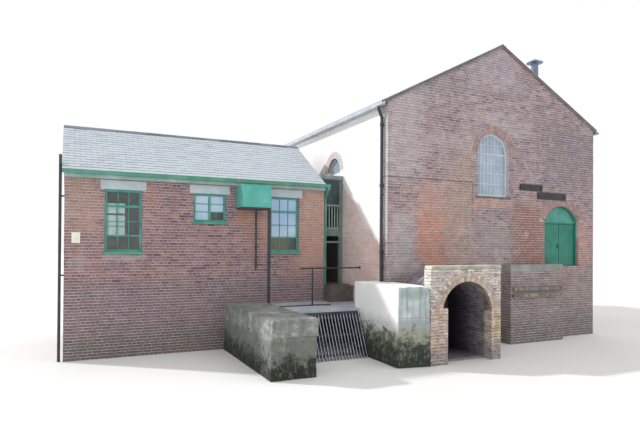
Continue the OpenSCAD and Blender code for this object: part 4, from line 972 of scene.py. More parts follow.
# %% Finishes with a tone for each piece
def toned_material(name, tones, stains, rough=(0.4, 0.65), depth=0.002, tails=0.0):
    """A tone for each piece. Tails is how far up a slate its covered part starts, if it has one;
    there and along its lower edge it gets painted shade.
    """
    made, tree, shader = new_material(name, specular=0.4)
    tone = add(tree, "ShaderNodeAttribute", attribute_name="tone").outputs["Fac"]
    colour = ramp(tree, tone, spread(tones))
    coarse = {"Size": 30.0, "Detail": 5.0, "Rough": 0.65}
    colour, grain = speckle(tree, colour, 0.45, BLUISH_DARK, **coarse)
    colour = lay_stains(tree, colour, stains)
    # Painted shade where the next course covers a slate, and along its lower edge.
    if tails:
        reach = add(tree, "ShaderNodeAttribute", attribute_name="reach").outputs["Fac"]
        shadow = ease(tree, reach, tails - 0.1, tails - 0.02)
        colour = stain(tree, colour, shadow, (0.42, 0.44, 0.48, 1), 0.75, "MULTIPLY")
        edge = ease(tree, reach, 0.0, 0.07, 1.0, 0.0)
        colour = stain(tree, colour, edge, (0.55, 0.56, 0.6, 1), 0.8, "MULTIPLY")
    finish_with(tree, shader, colour, ease(tree, grain, 0.3, 0.7, *rough))
    bump(tree, shader, grain, depth, 0.6)
    return made


print("toned finishes can be made")

# %% [markdown]
# ## Slates, tiles and mortar
# The slates are a pale blue grey with lichen, with painted shade where the next course covers them
# and along their lower edges.
# The bricks of the arches are mixed, as whoever built them took what came. Mortar is the same
# mix as concrete, pale in the house and washed black in the portal.

# %% Slates, tiles and mortar
slate = toned_material(
    "slate",
    [(190, 201, 211), (203, 213, 221), (209, 218, 225), (197, 207, 216)],
    [
        blotches(1.1, 0.55, 0.72, 3.0, (208, 210, 204), 0.4),
        blotches(6.0, 0.64, 0.74, 9.0, (164, 168, 150), 0.35),
    ],
    tails=0.8,
)
ridge_tile = toned_material(
    "ridge_tile",
    [(88, 102, 116), (112, 126, 138), (128, 140, 150)],
    [blotches(5.0, 0.6, 0.72, 19.0, (160, 162, 140), 0.4)],
)
arch_brick = toned_material(
    "arch_brick",
    [(118, 102, 110), (170, 140, 132), (148, 126, 128), (184, 152, 140), (138, 118, 122)],
    [
        blotches(2.4, 0.55, 0.7, 23.0, LIME, 0.4),
        # Pale on the faces to the left: wash and painted sunlight on the arch.
        wash_and_painted_sun(5.1, (240, 238, 236), 0.6),
    ],
    rough=(0.75, 0.95),
    depth=0.004,
)
portal_voussoir = toned_material(
    "portal_voussoir",
    [(154, 134, 126), (206, 188, 172), (182, 162, 148), (224, 212, 198), (168, 148, 138)],
    [blotches(2.4, 0.55, 0.7, 27.0, (226, 220, 212), 0.4)],
    rough=(0.75, 0.95),
    depth=0.004,
)
verge_slate = coated_material(
    "verge_slate", (78, 84, 82), (104, 110, 106), (130, 136, 124), rough=(0.6, 0.9)
)
sill_tile = coated_material(
    "sill_tile", (96, 92, 84), (124, 120, 108), (92, 108, 84), rough=(0.6, 0.9)
)
lime_mortar = concrete_material("lime_mortar", (150, 144, 142), (186, 180, 178), (206, 202, 198))
lost_mortar = concrete_material("lost_mortar", (70, 62, 60), (120, 110, 104), (190, 182, 174))
roof_boarding = coated_material(
    "roof_boarding", (112, 102, 102), (146, 134, 132), (172, 164, 156), rough=(0.6, 0.85)
)
print("toned finishes:", slate.name, ridge_tile.name, arch_brick.name)

# %% [markdown]
# ## Dressing the solids
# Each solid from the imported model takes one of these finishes. The two walls of a house share
# a material, and since it reads Object coordinates the courses run on from wall to wall.

# %% Dressing the solids
FINISH_OF = {
    pump_brick: ["pump_front_wall", "pump_back_wall", "pump_left_gable"],
    pump_gable_brick_shaded: ["pump_right_gable"],
    engine_brick: [
        "engine_front_wall", "engine_wall_over_door", "engine_wall_right_of_door",
        "engine_door_base", "engine_right_wall", "engine_back_wall", "step_ledge",
    ],
    limewashed_brick: ["engine_left_wall"],
    portal_brick: ["portal_wall"],
    barrel_brick: ["culvert_barrel"],
    lime_mortar: ["window_arches", "door_arch"],
    lost_mortar: ["portal_arch"],
    roof_boarding: ["pump_roof_front", "pump_roof_back", "engine_roof_left", "engine_roof_right"],
    intake_concrete: ["intake_wall"],
    abutment_concrete: ["left_abutment"],
    ledge_concrete: ["ledge_slab"],
    slab_concrete: ["pump_floor", "engine_floor", "deck"],
    damp_concrete: ["low_wall", "landing"],
    lintel_concrete: ["pump_lintels"],
    coping_stone: ["portal_coping"],
    window_green: ["pump_windows", "pump_sills"],
    fascia_green: ["pump_fascia"],
    hood_green: ["hood"],
    door_green: ["door_frame", "door_leaf_left", "door_leaf_right"],
    lunette_green: ["door_lunette"],
    gutter_green: ["pump_gutters", "pump_downpipes"],
    board_teal: ["link_boards"],
    rail_green: ["link_balustrade"],
    bar_white: ["engine_windows"],
    pipe_iron: ["wall_pipes", "handrail", "engine_downpipes"],
    gutter_grey: ["engine_gutters"],
    screen_iron: ["trash_screen"],
    plate_iron: ["wall_plates"],
    flue_steel: ["flue"],
    wet_timber: ["walings"],
    frame_timber: ["link_frame", "link_floor"],
    roof_lead: ["link_roof"],
    cream_plaque: ["plaque"],
    clear_glass: ["pump_glass"],
    engine_glass: ["engine_glass"],
    ridge_tile: ["pump_ridge", "engine_ridge"],
}
for finish, names in FINISH_OF.items():
    for name in names:
        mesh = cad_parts[name].data
        mesh.materials.clear()
        mesh.materials.append(finish)
bare = set(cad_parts) - {name for names in FINISH_OF.values() for name in names}
print("solids without a finish:", sorted(bare))

# %% [markdown]
# ## Building blocks for the new pieces
# The drawings of the station measure in metres from the pump house's front left corner at the
# foot of its wall, and `at` turns such a place into the model's frame. Most fittings are sawn,
# cast or pressed, so they start as a block with eased edges or as a short round bar.

# %% Building blocks for the new pieces
DATUM = Vector(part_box("pump_left_gable")[0])


def at(x, y, z):
    return DATUM + Vector((x, y, z))


def add_block(bm, low, high, ease_by=0.0):
    low, high = at(*low), at(*high)
    size = Matrix.Diagonal((*(high - low), 1.0))
    place = Matrix.Translation((low + high) / 2) @ size
    made = bmesh.ops.create_cube(bm, size=1.0, matrix=place)
    if ease_by:
        edges = list({edge for vert in made["verts"] for edge in vert.link_edges})
        bmesh.ops.bevel(
            bm, geom=edges, offset=ease_by, segments=1, profile=0.5, affect="EDGES", material=-1
        )


def towards(direction):
    return Vector(direction).to_track_quat("Z", "Y").to_matrix().to_4x4()


def add_bar(bm, start, end, radius, ease_by, sides=20):
    """A round bar between two places, with eased rims."""
    start, end = at(*start), at(*end)
    place = Matrix.Translation((start + end) / 2) @ towards(end - start)
    ends = {"radius1": radius, "radius2": radius, "depth": (end - start).length}
    made = bmesh.ops.create_cone(bm, cap_ends=True, segments=sides, matrix=place, **ends)
    edges = {edge for vert in made["verts"] for edge in vert.link_edges}
    rims = [edge for edge in edges if any(len(face.verts) > 4 for face in edge.link_faces)]
    bmesh.ops.bevel(
        bm, geom=rims, offset=ease_by, segments=2, profile=0.5, affect="EDGES", material=-1
    )


def add_bolt_head(bm, place, radius):
    """The rounded head of a bolt, pressed flat against the face behind it."""
    flat = Matrix.Diagonal((radius, radius, radius * 0.7, 1.0))
    matrix = Matrix.Translation(at(*place)) @ towards((0, -1, 0)) @ flat
    bmesh.ops.create_uvsphere(bm, u_segments=10, v_segments=6, radius=1.0, matrix=matrix)


def finish_piece(name, bm, material, body="station"):
    mesh = bpy.data.meshes.new(name)
    bm.to_mesh(mesh)
    bm.free()
    made = bpy.data.objects.new(name, mesh)
    bpy.context.scene.collection.objects.link(made)
    mesh.materials.append(material)
    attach(made, body)
    print(name, len(mesh.polygons), "faces")
    return made


print("datum of the drawings:", [round(c, 4) for c in DATUM])

# %% [markdown]
# ## The roofs
# Slates about 300 mm wide lie in level courses, each course half a slate over from the one
# below, and each slate rests on the two beneath it, so its lower edge stands a little proud.
# A texture could draw the lines, but the stepped edges catch the light along every course.
# Every slate is a small box with a slight tilt. Its size and lift vary by a few millimetres.

# %% The roofs
PUMP_PITCH, ENGINE_PITCH = math.radians(33.5), math.radians(27.5)
SLATE_GAUGE, SLATE_WIDTH, SLATE_THICKNESS, SLATE_GAP, SLATE_LAP = 0.155, 0.28, 0.007, 0.004, 0.04
SLATE_LIFT, EAVES_OVERHANG, SLATE_TIP = 0.0085, 0.02, 0.007


def slope_of(node, pitch, run_axis):
    """Corners of a roof slope's box, the height of its upper face at the eaves, and its rise."""
    low, high = (Vector(corner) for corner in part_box(node))
    run = high[run_axis] - low[run_axis]
    return low, high, high.z - run * math.tan(pitch), run / math.cos(pitch)


def lay_slates(name, node, pitch, inward, seed):
    """Lays slates on a slope. Inward is the level way from its eaves towards its ridge."""
    dice = random.Random(seed)
    inward = Vector(inward)
    along = inward.cross((0, 0, 1))
    low, high, eaves, height = slope_of(node, pitch, 0 if inward.x else 1)
    way = along + inward
    corner = Vector((low.x if way.x > 0 else high.x, low.y if way.y > 0 else high.y, eaves))
    length = abs((high - low).dot(along))
    up = inward * math.cos(pitch) + Vector((0, 0, math.sin(pitch)))
    slope = Matrix((along, up, along.cross(up))).transposed().to_4x4()
    bm = bmesh.new()
    tone = bm.faces.layers.float.new("tone")
    run = bm.verts.layers.float.new("reach")
    rows, columns = math.ceil(height / SLATE_GAUGE), round(length / SLATE_WIDTH)
    gauge, width = height / rows, length / columns
    for row in range(rows):
        half = 0.5 * (row % 2)
        reach = gauge + (SLATE_LAP if row < rows - 1 else 0.0)
        for column in range(columns + (row % 2)):
            left = max(0.0, (column - half) * width)
            right = min(length, (column + 1 - half) * width)
            drop = EAVES_OVERHANG if row == 0 else dice.uniform(-0.004, 0.004)
            low, high = row * gauge - drop, row * gauge + reach
            lift = SLATE_LIFT + dice.uniform(-0.0015, 0.0015)
            middle = Vector(((left + right) / 2, (low + high) / 2, lift))
            tip = Matrix.Rotation(-SLATE_TIP / gauge + dice.uniform(-0.004, 0.004), 4, "X")
            size = Matrix.Diagonal((right - left - SLATE_GAP, high - low, SLATE_THICKNESS, 1.0))
            place = Matrix.Translation(corner) @ slope @ Matrix.Translation(middle) @ tip @ size
            made = bmesh.ops.create_cube(bm, size=1.0, matrix=place)
            shade = min(1.0, max(0.0, dice.gauss(0.5, 0.22)))
            for face in {face for vert in made["verts"] for face in vert.link_faces}:
                face[tone] = shade
            for vert in made["verts"]:
                vert[run] = round(((vert.co - corner).dot(up) - low) / (high - low))
    finish_piece(name, bm, slate)


lay_slates("pump_slates_front", "pump_roof_front", PUMP_PITCH, (0, 1, 0), 1)
lay_slates("pump_slates_back", "pump_roof_back", PUMP_PITCH, (0, -1, 0), 2)
lay_slates("engine_slates_left", "engine_roof_left", ENGINE_PITCH, (1, 0, 0), 3)
lay_slates("engine_slates_right", "engine_roof_right", ENGINE_PITCH, (-1, 0, 0), 4)

# %% [markdown]
# ## Slips under the verge
# Along the front gable of the tall house a line of thin slips closes the gap between slates
# and brick. They are blocks turned to the pitch, one after the other up each side.

# %% Slips under the verge
SLIPS = 11
SLIP_GAP, SLIP_DROP, SLIP_DEPTH, SLIP_TALL = 0.002, 0.022, 0.008, 0.034

low, high, eaves, rise = slope_of("engine_roof_left", ENGINE_PITCH, 0)
bm = bmesh.new()
for start_x, way in ((low.x, 1.0), (2 * high.x - low.x, -1.0)):
    turn = Matrix.Rotation(-ENGINE_PITCH * way, 4, "Y")
    along = Vector((math.cos(ENGINE_PITCH) * way, 0.0, math.sin(ENGINE_PITCH)))
    start = Vector((start_x, low.y - SLIP_DEPTH / 2, eaves - SLIP_DROP))
    for step in range(SLIPS):
        near, far = (step / SLIPS + SLIP_GAP) * rise, (step + 1) / SLIPS * rise
        size = Matrix.Diagonal((far - near, SLIP_DEPTH, SLIP_TALL, 1.0))
        place = Matrix.Translation(start + along * (near + far) / 2) @ turn @ size
        bmesh.ops.create_cube(bm, size=1.0, matrix=place)
finish_piece("verge_slips", bm, verge_slate)

# %% [markdown]
# ## Ridge tiles
# Angled clay tiles sit over the ridge in a row, each bedded on mortar. A tile starts as its
# bent outline, two edges that meet at the top. Extruding them along the ridge makes two
# leaves, and solidify gives both the same thickness round the bend.

# %% Ridge tiles
RIDGE_TILE, RIDGE_WING, RIDGE_THICKNESS, RIDGE_GAP = 0.45, 0.17, 0.018, 0.004


def lay_ridge(name, node, pitch, run_axis, seed):
    dice = random.Random(seed)
    low, high = (Vector(corner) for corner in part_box(node))
    across_axis = 1 - run_axis
    middle = (low[across_axis] + high[across_axis]) / 2
    bm = bmesh.new()
    tone = bm.faces.layers.float.new("tone")
    count = round((high[run_axis] - low[run_axis]) / RIDGE_TILE)
    tile = (high[run_axis] - low[run_axis]) / count
    for index in range(count):
        top = high.z - 0.004 + dice.uniform(0.0, 0.004)
        outline = []
        for side in (-1, 0, 1):
            place = Vector((0.0, 0.0, top - abs(side) * RIDGE_WING * math.sin(pitch)))
            place[run_axis] = low[run_axis] + index * tile + RIDGE_GAP
            place[across_axis] = middle + side * RIDGE_WING * math.cos(pitch)
            outline.append(bm.verts.new(place))
        edges = [bm.edges.new(pair) for pair in zip(outline, outline[1:])]
        grown = bmesh.ops.extrude_edge_only(bm, edges=edges)["geom"]
        reach = Vector()
        reach[run_axis] = tile - 2 * RIDGE_GAP
        far_end = [g for g in grown if isinstance(g, bmesh.types.BMVert)]
        bmesh.ops.translate(bm, verts=far_end, vec=reach)
        faces = [g for g in grown if isinstance(g, bmesh.types.BMFace)]
        bmesh.ops.recalc_face_normals(bm, faces=faces)
        if sum(face.normal.z for face in faces) < 0:
            bmesh.ops.reverse_faces(bm, faces=faces)
        made = bmesh.ops.solidify(bm, geom=faces, thickness=RIDGE_THICKNESS)
        shade = dice.random()
        for face in set(faces) | {g for g in made["geom"] if isinstance(g, bmesh.types.BMFace)}:
            face[tone] = shade
    bmesh.ops.recalc_face_normals(bm, faces=bm.faces)
    made = finish_piece(name, bm, ridge_tile)
    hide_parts(node)


lay_ridge("pump_ridge_tiles", "pump_ridge", PUMP_PITCH, 0, 5)
lay_ridge("engine_ridge_tiles", "engine_ridge", ENGINE_PITCH, 1, 6)

# %% [markdown]
# ## Brick arches
# The bricks of an arch stand on end and point at its centre. One brick is a flat oblong
# in the plane of the arch's radius, spun through its share of the arc, so its sides taper as
# cut bricks do. They stand a hair proud of the solid ring, which shows as the mortar between.

# %% Brick arches: laying the rings
RINGS, RING_DEPTH, BED_GAP, RING_GAP, PROUD = 2, 0.23, 0.009, 0.004, 0.003


def lay_arch(
    name, centre, radius, depth_axis, low, high, seed,
    half_angle=math.pi / 2, brick=0.072, slot="arch_brick", material=arch_brick,
):
    """Two rings of bricks round an arc. The depth axis is the one that runs through the wall."""
    dice = random.Random(seed)
    bm = bmesh.new()
    tone = bm.faces.layers.float.new("tone")
    along_axis = 1 - depth_axis
    axis = Vector()
    axis[depth_axis] = 1.0 if depth_axis == 0 else -1.0
    for ring in range(RINGS):
        inner = radius + RING_DEPTH * ring / RINGS + (RING_GAP if ring else 0.0)
        outer = radius + RING_DEPTH * (ring + 1) / RINGS - RING_GAP
        count = max(3, round(2 * half_angle * inner / brick))
        step = 2 * half_angle / count
        gap = BED_GAP / inner
        for index in range(count):
            start = math.pi / 2 - half_angle + index * step + gap / 2
            near = low - dice.uniform(0.0, PROUD)
            corners = []
            for r, deep in ((inner, near), (outer, near), (outer, high), (inner, high)):
                place = at(*centre) + Vector((0.0, 0.0, r * math.sin(start)))
                place[along_axis] += r * math.cos(start)
                place[depth_axis] = DATUM[depth_axis] + deep
                corners.append(bm.verts.new(place))
            face = bm.faces.new(corners)
            geometry = [face, *face.edges, *corners]
            turn = {"cent": at(*centre), "axis": axis, "angle": step - gap, "steps": 2}
            spun = bmesh.ops.spin(bm, geom=geometry, use_duplicate=False, **turn)["geom_last"]
            shade = min(1.0, max(0.0, dice.gauss(0.5, 0.25)))
            sides = {f for v in corners for f in v.link_faces}
            for made in sides | {g for g in spun if isinstance(g, bmesh.types.BMFace)}:
                made[tone] = shade
    bmesh.ops.holes_fill(bm, edges=bm.edges)
    bmesh.ops.recalc_face_normals(bm, faces=bm.faces)
    for face in bm.faces:
        if not face[tone]:
            near = [f[tone] for edge in face.edges for f in edge.link_faces if f[tone]]
            face[tone] = near[0] if near else 0.5
    finish_piece(name, bm, material)


print(RINGS, "rings,", RING_DEPTH, "m deep")

# %% [markdown]
# ## The arches in their walls
# Each arch stands where the wall's opening stands, so its centre and radius are those of the
# opening. The door's arch is flatter than a half circle: its radius follows from the width
# and the rise of the curve.

# %% The arches in their walls
ENGINE_LEFT, ENGINE_RIGHT, ENGINE_FRONT, ENGINE_BACK = 8.03, 16.34, -2.4, 9.6
GABLE_MIDDLE, GABLE_RADIUS, GABLE_SPRING, GABLE_SILL = 11.856, 0.621, 5.802, 4.495
SIDE_PLACES, SIDE_RADIUS, SIDE_SPRING, SIDE_SILL = (0.89, 6.31), 0.44, 5.4, 5.31
DOOR_MIDDLE, DOOR_SPRING, DOOR_WIDTH, DOOR_RISE = 14.82, 3.795, 1.58, 0.515
DOOR_RADIUS = (DOOR_WIDTH**2 / 4 + DOOR_RISE**2) / (2 * DOOR_RISE)
DOOR_CENTRE = DOOR_SPRING + DOOR_RISE - DOOR_RADIUS
PORTAL_MIDDLE, PORTAL_SPRING, PORTAL_RADIUS = 9.35, 1.27, 0.8


def at_low_face(face):
    return face - PROUD, face + 0.1


def at_high_face(face):
    return face - 0.1, face + PROUD


gable = (GABLE_MIDDLE, 0, GABLE_SPRING), GABLE_RADIUS, 1
lay_arch("gable_arch_bricks_front", *gable, *at_low_face(ENGINE_FRONT), 11)
lay_arch("gable_arch_bricks_back", *gable, *at_high_face(ENGINE_BACK), 11)
for side, faces in (("left", at_low_face(ENGINE_LEFT)), ("right", at_high_face(ENGINE_RIGHT))):
    for number, place in enumerate(SIDE_PLACES, 1):
        name = f"side_arch_bricks_{side}_{number}"
        lay_arch(name, (0, place, SIDE_SPRING), SIDE_RADIUS, 0, *faces, 12 + number)
door = (DOOR_MIDDLE, 0, DOOR_CENTRE), DOOR_RADIUS, 1
half_angle = math.acos((DOOR_SPRING - DOOR_CENTRE) / DOOR_RADIUS)
lay_arch("door_arch_bricks", *door, *at_low_face(ENGINE_FRONT), 15, half_angle=half_angle)
portal = (PORTAL_MIDDLE, 0, PORTAL_SPRING), PORTAL_RADIUS, 1
voussoirs = {"brick": 0.08, "slot": "portal_brick", "material": portal_voussoir}
lay_arch("portal_voussoirs", *portal, -4.153, -4.05, 16, **voussoirs)

# %% [markdown]
# ## Glazing bars of the pump house
# The windows have small panes, as old glass was made small. The bars are thin and there are
# many of them, so they are left off the solids. Each is a block with eased edges that runs
# from side to side through the plane of the glass.

# %% Glazing bars of the pump house
TALL_WINDOWS, SMALL_WINDOW = (0.945, 5.485), 3.23
WINDOW_WIDTH, WINDOW_RIM, WINDOW_HEAD, TALL_SILL, SMALL_SILL = 0.92, 0.06, 4.395, 2.76, 3.6
THIN_BAR, TRANSOM_BAR, TRANSOM = 0.022, 0.045, 3.19
IN_FRONT_WALL, IN_BACK_WALL = (0.075, 0.115), (4.285, 4.325)


def pump_window_bars(bm, left, sill, shares, levels, depth):
    """Bars of one window: upright ones shared out over its width, level ones at given heights."""
    near, far = depth
    inner_left, inner_right = left + WINDOW_RIM, left + WINDOW_WIDTH - WINDOW_RIM
    half = THIN_BAR / 2
    for share in shares:
        x = inner_left + share * (inner_right - inner_left)
        low, high = sill + WINDOW_RIM, WINDOW_HEAD - WINDOW_RIM
        add_block(bm, (x - half, near, low), (x + half, far, high), 0.004)
    for z in levels:
        half = (TRANSOM_BAR if z == TRANSOM else THIN_BAR) / 2
        low, high = (inner_left, near + 0.002, z - half), (inner_right, far - 0.002, z + half)
        add_block(bm, low, high, 0.004)


bm = bmesh.new()
for left in TALL_WINDOWS:
    for depth in (IN_FRONT_WALL, IN_BACK_WALL):
        pump_window_bars(bm, left, TALL_SILL, (1 / 3, 2 / 3), (TRANSOM, 3.56), depth)
pump_window_bars(bm, SMALL_WINDOW, SMALL_SILL, (), (3.885, 4.11), IN_FRONT_WALL)
finish_piece("pump_glazing_bars", bm, window_green)

# %% [markdown]
# ## Panes
# Old panes are puttied in one by one and no two lie quite in the same plane, which is why
# a window glitters unevenly. So each pane is a thin sheet of its own, tilted by a fraction of
# a degree. The panes of the left window are clear and show the window behind. The lowest ones
# carry a painted reflection of the dark ground, and the rest a painted reflection of the pale
# sky, on glass that throws back more light than plain glass.

# %% Panes
PANE_THICKNESS, PANE_TILT = 0.005, 0.006
FRONT_GLASS, BACK_GLASS = 0.095, 4.305


def pump_panes(name, windows, material):
    dice = random.Random(41)
    bm = bmesh.new()
    for window, columns, levels, y in windows:
        for left, right in columns:
            for low, high in levels:
                middle = at(window + (left + right) / 2, y, (low + high) / 2)
                tip = Matrix.Rotation(dice.uniform(-PANE_TILT, PANE_TILT), 4, "X")
                tip = tip @ Matrix.Rotation(dice.uniform(-PANE_TILT, PANE_TILT), 4, "Z")
                size = Matrix.Diagonal((right - left, PANE_THICKNESS, high - low, 1.0))
                place = Matrix.Translation(middle) @ tip @ size
                bmesh.ops.create_cube(bm, size=1.0, matrix=place)
    return finish_piece(name, bm, material)


three = [(0.062, 0.316), (0.338, 0.582), (0.604, 0.858)]
two = [(0.062, 0.428), (0.492, 0.858)]
tall = [(2.822, 3.168), (3.214, 3.55), (3.572, 3.928), (3.992, 4.333)]
short = [(3.662, 3.875), (3.897, 4.1), (4.122, 4.333)]
first, second = TALL_WINDOWS
clear = pump_panes("clear_panes", [
    (first, three, tall[1:], FRONT_GLASS),
    (first, three, tall, BACK_GLASS),
    (second, three, tall, BACK_GLASS),
], clear_glass)
pump_panes("dark_reflection_panes", [
    (first, three, tall[:1], FRONT_GLASS),
    (second, three, tall[:1], FRONT_GLASS),
    (SMALL_WINDOW, two[1:], short[:1], FRONT_GLASS),
], dark_reflection_glass)
pump_panes("sky_reflection_panes", [
    (second, three, tall[1:], FRONT_GLASS),
    (SMALL_WINDOW, two, short[1:], FRONT_GLASS),
    (SMALL_WINDOW, two[:1], short[:1], FRONT_GLASS),
], sky_reflection_glass)
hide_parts("pump_glass")

# %% [markdown]
# ## Glazing bars of the engine house
# The arched windows have cast-iron frames with close, white bars. An upright bar ends where
# it meets the curve, so its top is worked out from the circle, and so are the ends of the
# level bars above the springing.

# %% Glazing bars of the engine house
ARCH_BAR, SPRING_BAR, ARCH_RIM, SILL_RIM, BAR_LAP = 0.02, 0.035, 0.06, 0.055, 0.01


def arched_bars(bm, middle, radius, sill, spring, columns, levels, depth_axis, near, far):
    """Bars in a frame with a round head, set in a wall that the depth axis runs through."""
    clear = radius - ARCH_RIM
    bars = []
    for column in range(1, columns):
        across = -clear + 2 * clear * column / columns
        top = spring + math.sqrt(max(0.0, clear * clear - across * across)) + BAR_LAP
        x = middle + across
        bars.append((x - ARCH_BAR / 2, x + ARCH_BAR / 2, sill + SILL_RIM, top))
    for z in levels:
        reach = clear if z <= spring else math.sqrt(clear * clear - (z - spring) ** 2)
        half = (SPRING_BAR if z == spring else ARCH_BAR) / 2
        bars.append((middle - reach - BAR_LAP, middle + reach + BAR_LAP, z - half, z + half))
    for start, end, low, high in bars:
        if depth_axis:
            add_block(bm, (start, near, low), (end, far, high), 0.003)
        else:
            add_block(bm, (near, start, low), (far, end, high), 0.003)


bm = bmesh.new()
gable_levels = (4.88, 5.21, 5.5, GABLE_SPRING, 6.08)
gable = GABLE_MIDDLE, GABLE_RADIUS, GABLE_SILL, GABLE_SPRING, 8, gable_levels
for near, far in ((-2.285, -2.25), (9.45, 9.485)):
    arched_bars(bm, *gable, 1, near, far)
for place in SIDE_PLACES:
    side = place, SIDE_RADIUS, SIDE_SILL, SIDE_SPRING, 6, (SIDE_SPRING + 0.12,)
    for near, far in ((8.145, 8.18), (16.19, 16.225)):
        arched_bars(bm, *side, 0, near, far)
finish_piece("engine_glazing_bars", bm, bar_white)

# %% [markdown]
# ## Gable window sill
# A row of dark tiles, laid with a slope, throws the rain off below the arched window.

# %% Gable window sill
SILL_TILES, SILL_TILE, SILL_LOW, SILL_TOP = 8, 0.18, 4.44, 4.494

bm = bmesh.new()
for face, back in ((-2.425, -2.3), (9.5, 9.625)):
    for step in range(SILL_TILES):
        left = GABLE_MIDDLE + (step - SILL_TILES / 2) * SILL_TILE
        right = left + SILL_TILE - 0.002
        add_block(bm, (left + 0.002, face, SILL_LOW), (right, back, SILL_TOP), 0.006)
finish_piece("gable_sill_tiles", bm, sill_tile)

# %% [markdown]
# ## The double door
# The leaves are boarded with narrow upright boards, and the joint of two boards is a small V
# where both have an eased edge. The boards stand a few millimetres proud of the leaf. The
# straps behind are held with round-headed bolts, counted from the hinge side.

# %% The double door
LEAF_LOW, LEAF_TOP, LEAF_FACE = 2.338, 3.717, -2.27
BOARD_PROUD, STRAP_LEVELS, BOLT_PITCH = 0.006, (2.595, 3.475), 0.11
LEAVES = (("left", "left_door", 14.125, 14.811), ("right", "right_door", 14.829, 15.515))


def board_row(bm, left, right, low, high, near, far, count, gap=0.004, ease_by=0.003):
    width = (right - left) / count
    for index in range(count):
        start = left + index * width + gap / 2
        add_block(bm, (start, near, low), (start + width - gap, far, high), ease_by)


for side, body, left, right in LEAVES:
    bm = bmesh.new()
    near, far = LEAF_FACE - BOARD_PROUD, LEAF_FACE + 0.004
    board_row(bm, left, right, LEAF_LOW + 0.004, LEAF_TOP - 0.004, near, far, 6)
    hinge, way = (left, 1) if side == "left" else (right, -1)
    for z in STRAP_LEVELS:
        for step in range(4):
            x = hinge + way * (0.07 + step * BOLT_PITCH)
            add_bolt_head(bm, (x, near, z), 0.012)
    finish_piece(f"door_boards_{side}", bm, door_green, body)

# %% [markdown]
# ## Padlock
# A plate, a hasp and a padlock close the pair of leaves, and they swing with the left one.
# The body is a block. The shackle is a small disc spun through half a turn.

# %% Padlock
bm = bmesh.new()
face = LEAF_FACE
add_block(bm, (14.745, face - 0.014, 3.005), (14.806, face - 0.006, 3.05), 0.002)
add_block(bm, (14.765, face - 0.04, 3.02), (14.775, face - 0.012, 3.035), 0.002)
add_block(bm, (14.74, face - 0.05, 2.94), (14.795, face - 0.022, 2.995), 0.006)
start = Matrix.Translation(at(14.752, face - 0.036, 2.99))
disc = bmesh.ops.create_circle(bm, cap_ends=True, radius=0.004, segments=8, matrix=start)["verts"]
geometry = list({g for v in disc for g in (v, *v.link_edges, *v.link_faces)})
turn = {"cent": at(14.768, face - 0.036, 2.99), "axis": (0, 1, 0), "angle": math.pi, "steps": 10}
bmesh.ops.spin(bm, geom=geometry, use_duplicate=False, **turn)
bmesh.ops.recalc_face_normals(bm, faces=bm.faces)
finish_piece("door_padlock", bm, pipe_iron, "left_door")

# %% [markdown]
# ## Boards in the arch over the door
# Ten boards fill the arch. Each is cut off level, as high as the curve allows at its outer
# edge, and a rail with a rounded edge crosses below them.

# %% Boards in the arch over the door
LUNETTE_BOARDS, LUNETTE_BOARD, LUNETTE_LEFT, ARCH_FRAME = 10, 0.142, 14.11, 0.075

bm = bmesh.new()
for index in range(LUNETTE_BOARDS):
    left = LUNETTE_LEFT + index * LUNETTE_BOARD
    right = left + LUNETTE_BOARD
    far = max(abs(left - DOOR_MIDDLE), abs(right - DOOR_MIDDLE))
    top = DOOR_CENTRE + math.sqrt(max(0.0, (DOOR_RADIUS - ARCH_FRAME) ** 2 - far**2))
    if top > DOOR_SPRING + 0.03:
        add_block(bm, (left + 0.003, -2.287, DOOR_SPRING), (right - 0.003, -2.278, top), 0.003)
add_block(bm, (14.1, -2.312, DOOR_SPRING - 0.03), (15.54, -2.29, DOOR_SPRING + 0.015), 0.005)
finish_piece("lunette_boards", bm, lunette_green)

# %% [markdown]
# ## Gutters and downpipes
# A cast-iron gutter hangs on brackets. The downpipes come in six-foot lengths, and each length
# ends in a thicker socket, which has two ears on the tall house. Sockets are short round bars
# with eased rims, slipped over the pipe.

# %% Gutters and downpipes
PIPE_RADIUS, GUTTER_BRACKETS, BRACKET_PITCH = 0.045, 9, 0.83


def pipe_sockets(bm, x, y, heights, ear=0.0):
    for z in heights:
        add_bar(bm, (x, y, z), (x, y, z + 0.07), PIPE_RADIUS + 0.014, 0.004)
        add_bar(bm, (x, y, z + 0.075), (x, y, z + 0.09), PIPE_RADIUS + 0.008, 0.003)
        if ear:
            add_block(bm, (x, y - ear, z + 0.01), (x, y + ear, z + 0.06), 0.004)


bm = bmesh.new()
for y in (0.07, 4.33):
    pipe_sockets(bm, 7.32, y, (2.3, 3.4))
for step in range(GUTTER_BRACKETS):
    x = 0.35 + step * BRACKET_PITCH
    for near, far in ((-0.228, -0.12), (4.52, 4.628)):
        add_block(bm, (x, near, 4.736), (x + 0.03, far, 4.746), 0.002)
finish_piece("pump_pipe_sockets", bm, gutter_green)

bm = bmesh.new()
for x in (7.96, 16.41):
    pipe_sockets(bm, x, -2.2, (2.75, 4.6, 6.3), ear=0.075)
finish_piece("engine_pipe_sockets", bm, pipe_iron)

# %% [markdown]
# ## Portal coping
# Three long stones cap the portal wall. They are hand dressed and chipped, so each begins as
# a block that is bevelled, subdivided and then pushed about a little at every corner. The
# top stays level, because rain is meant to run off its front edge.

# %% Portal coping
COPING_FRONT, COPING_BACK, COPING_LOW, COPING_TOP = -4.176, -3.874, 2.384, 2.476

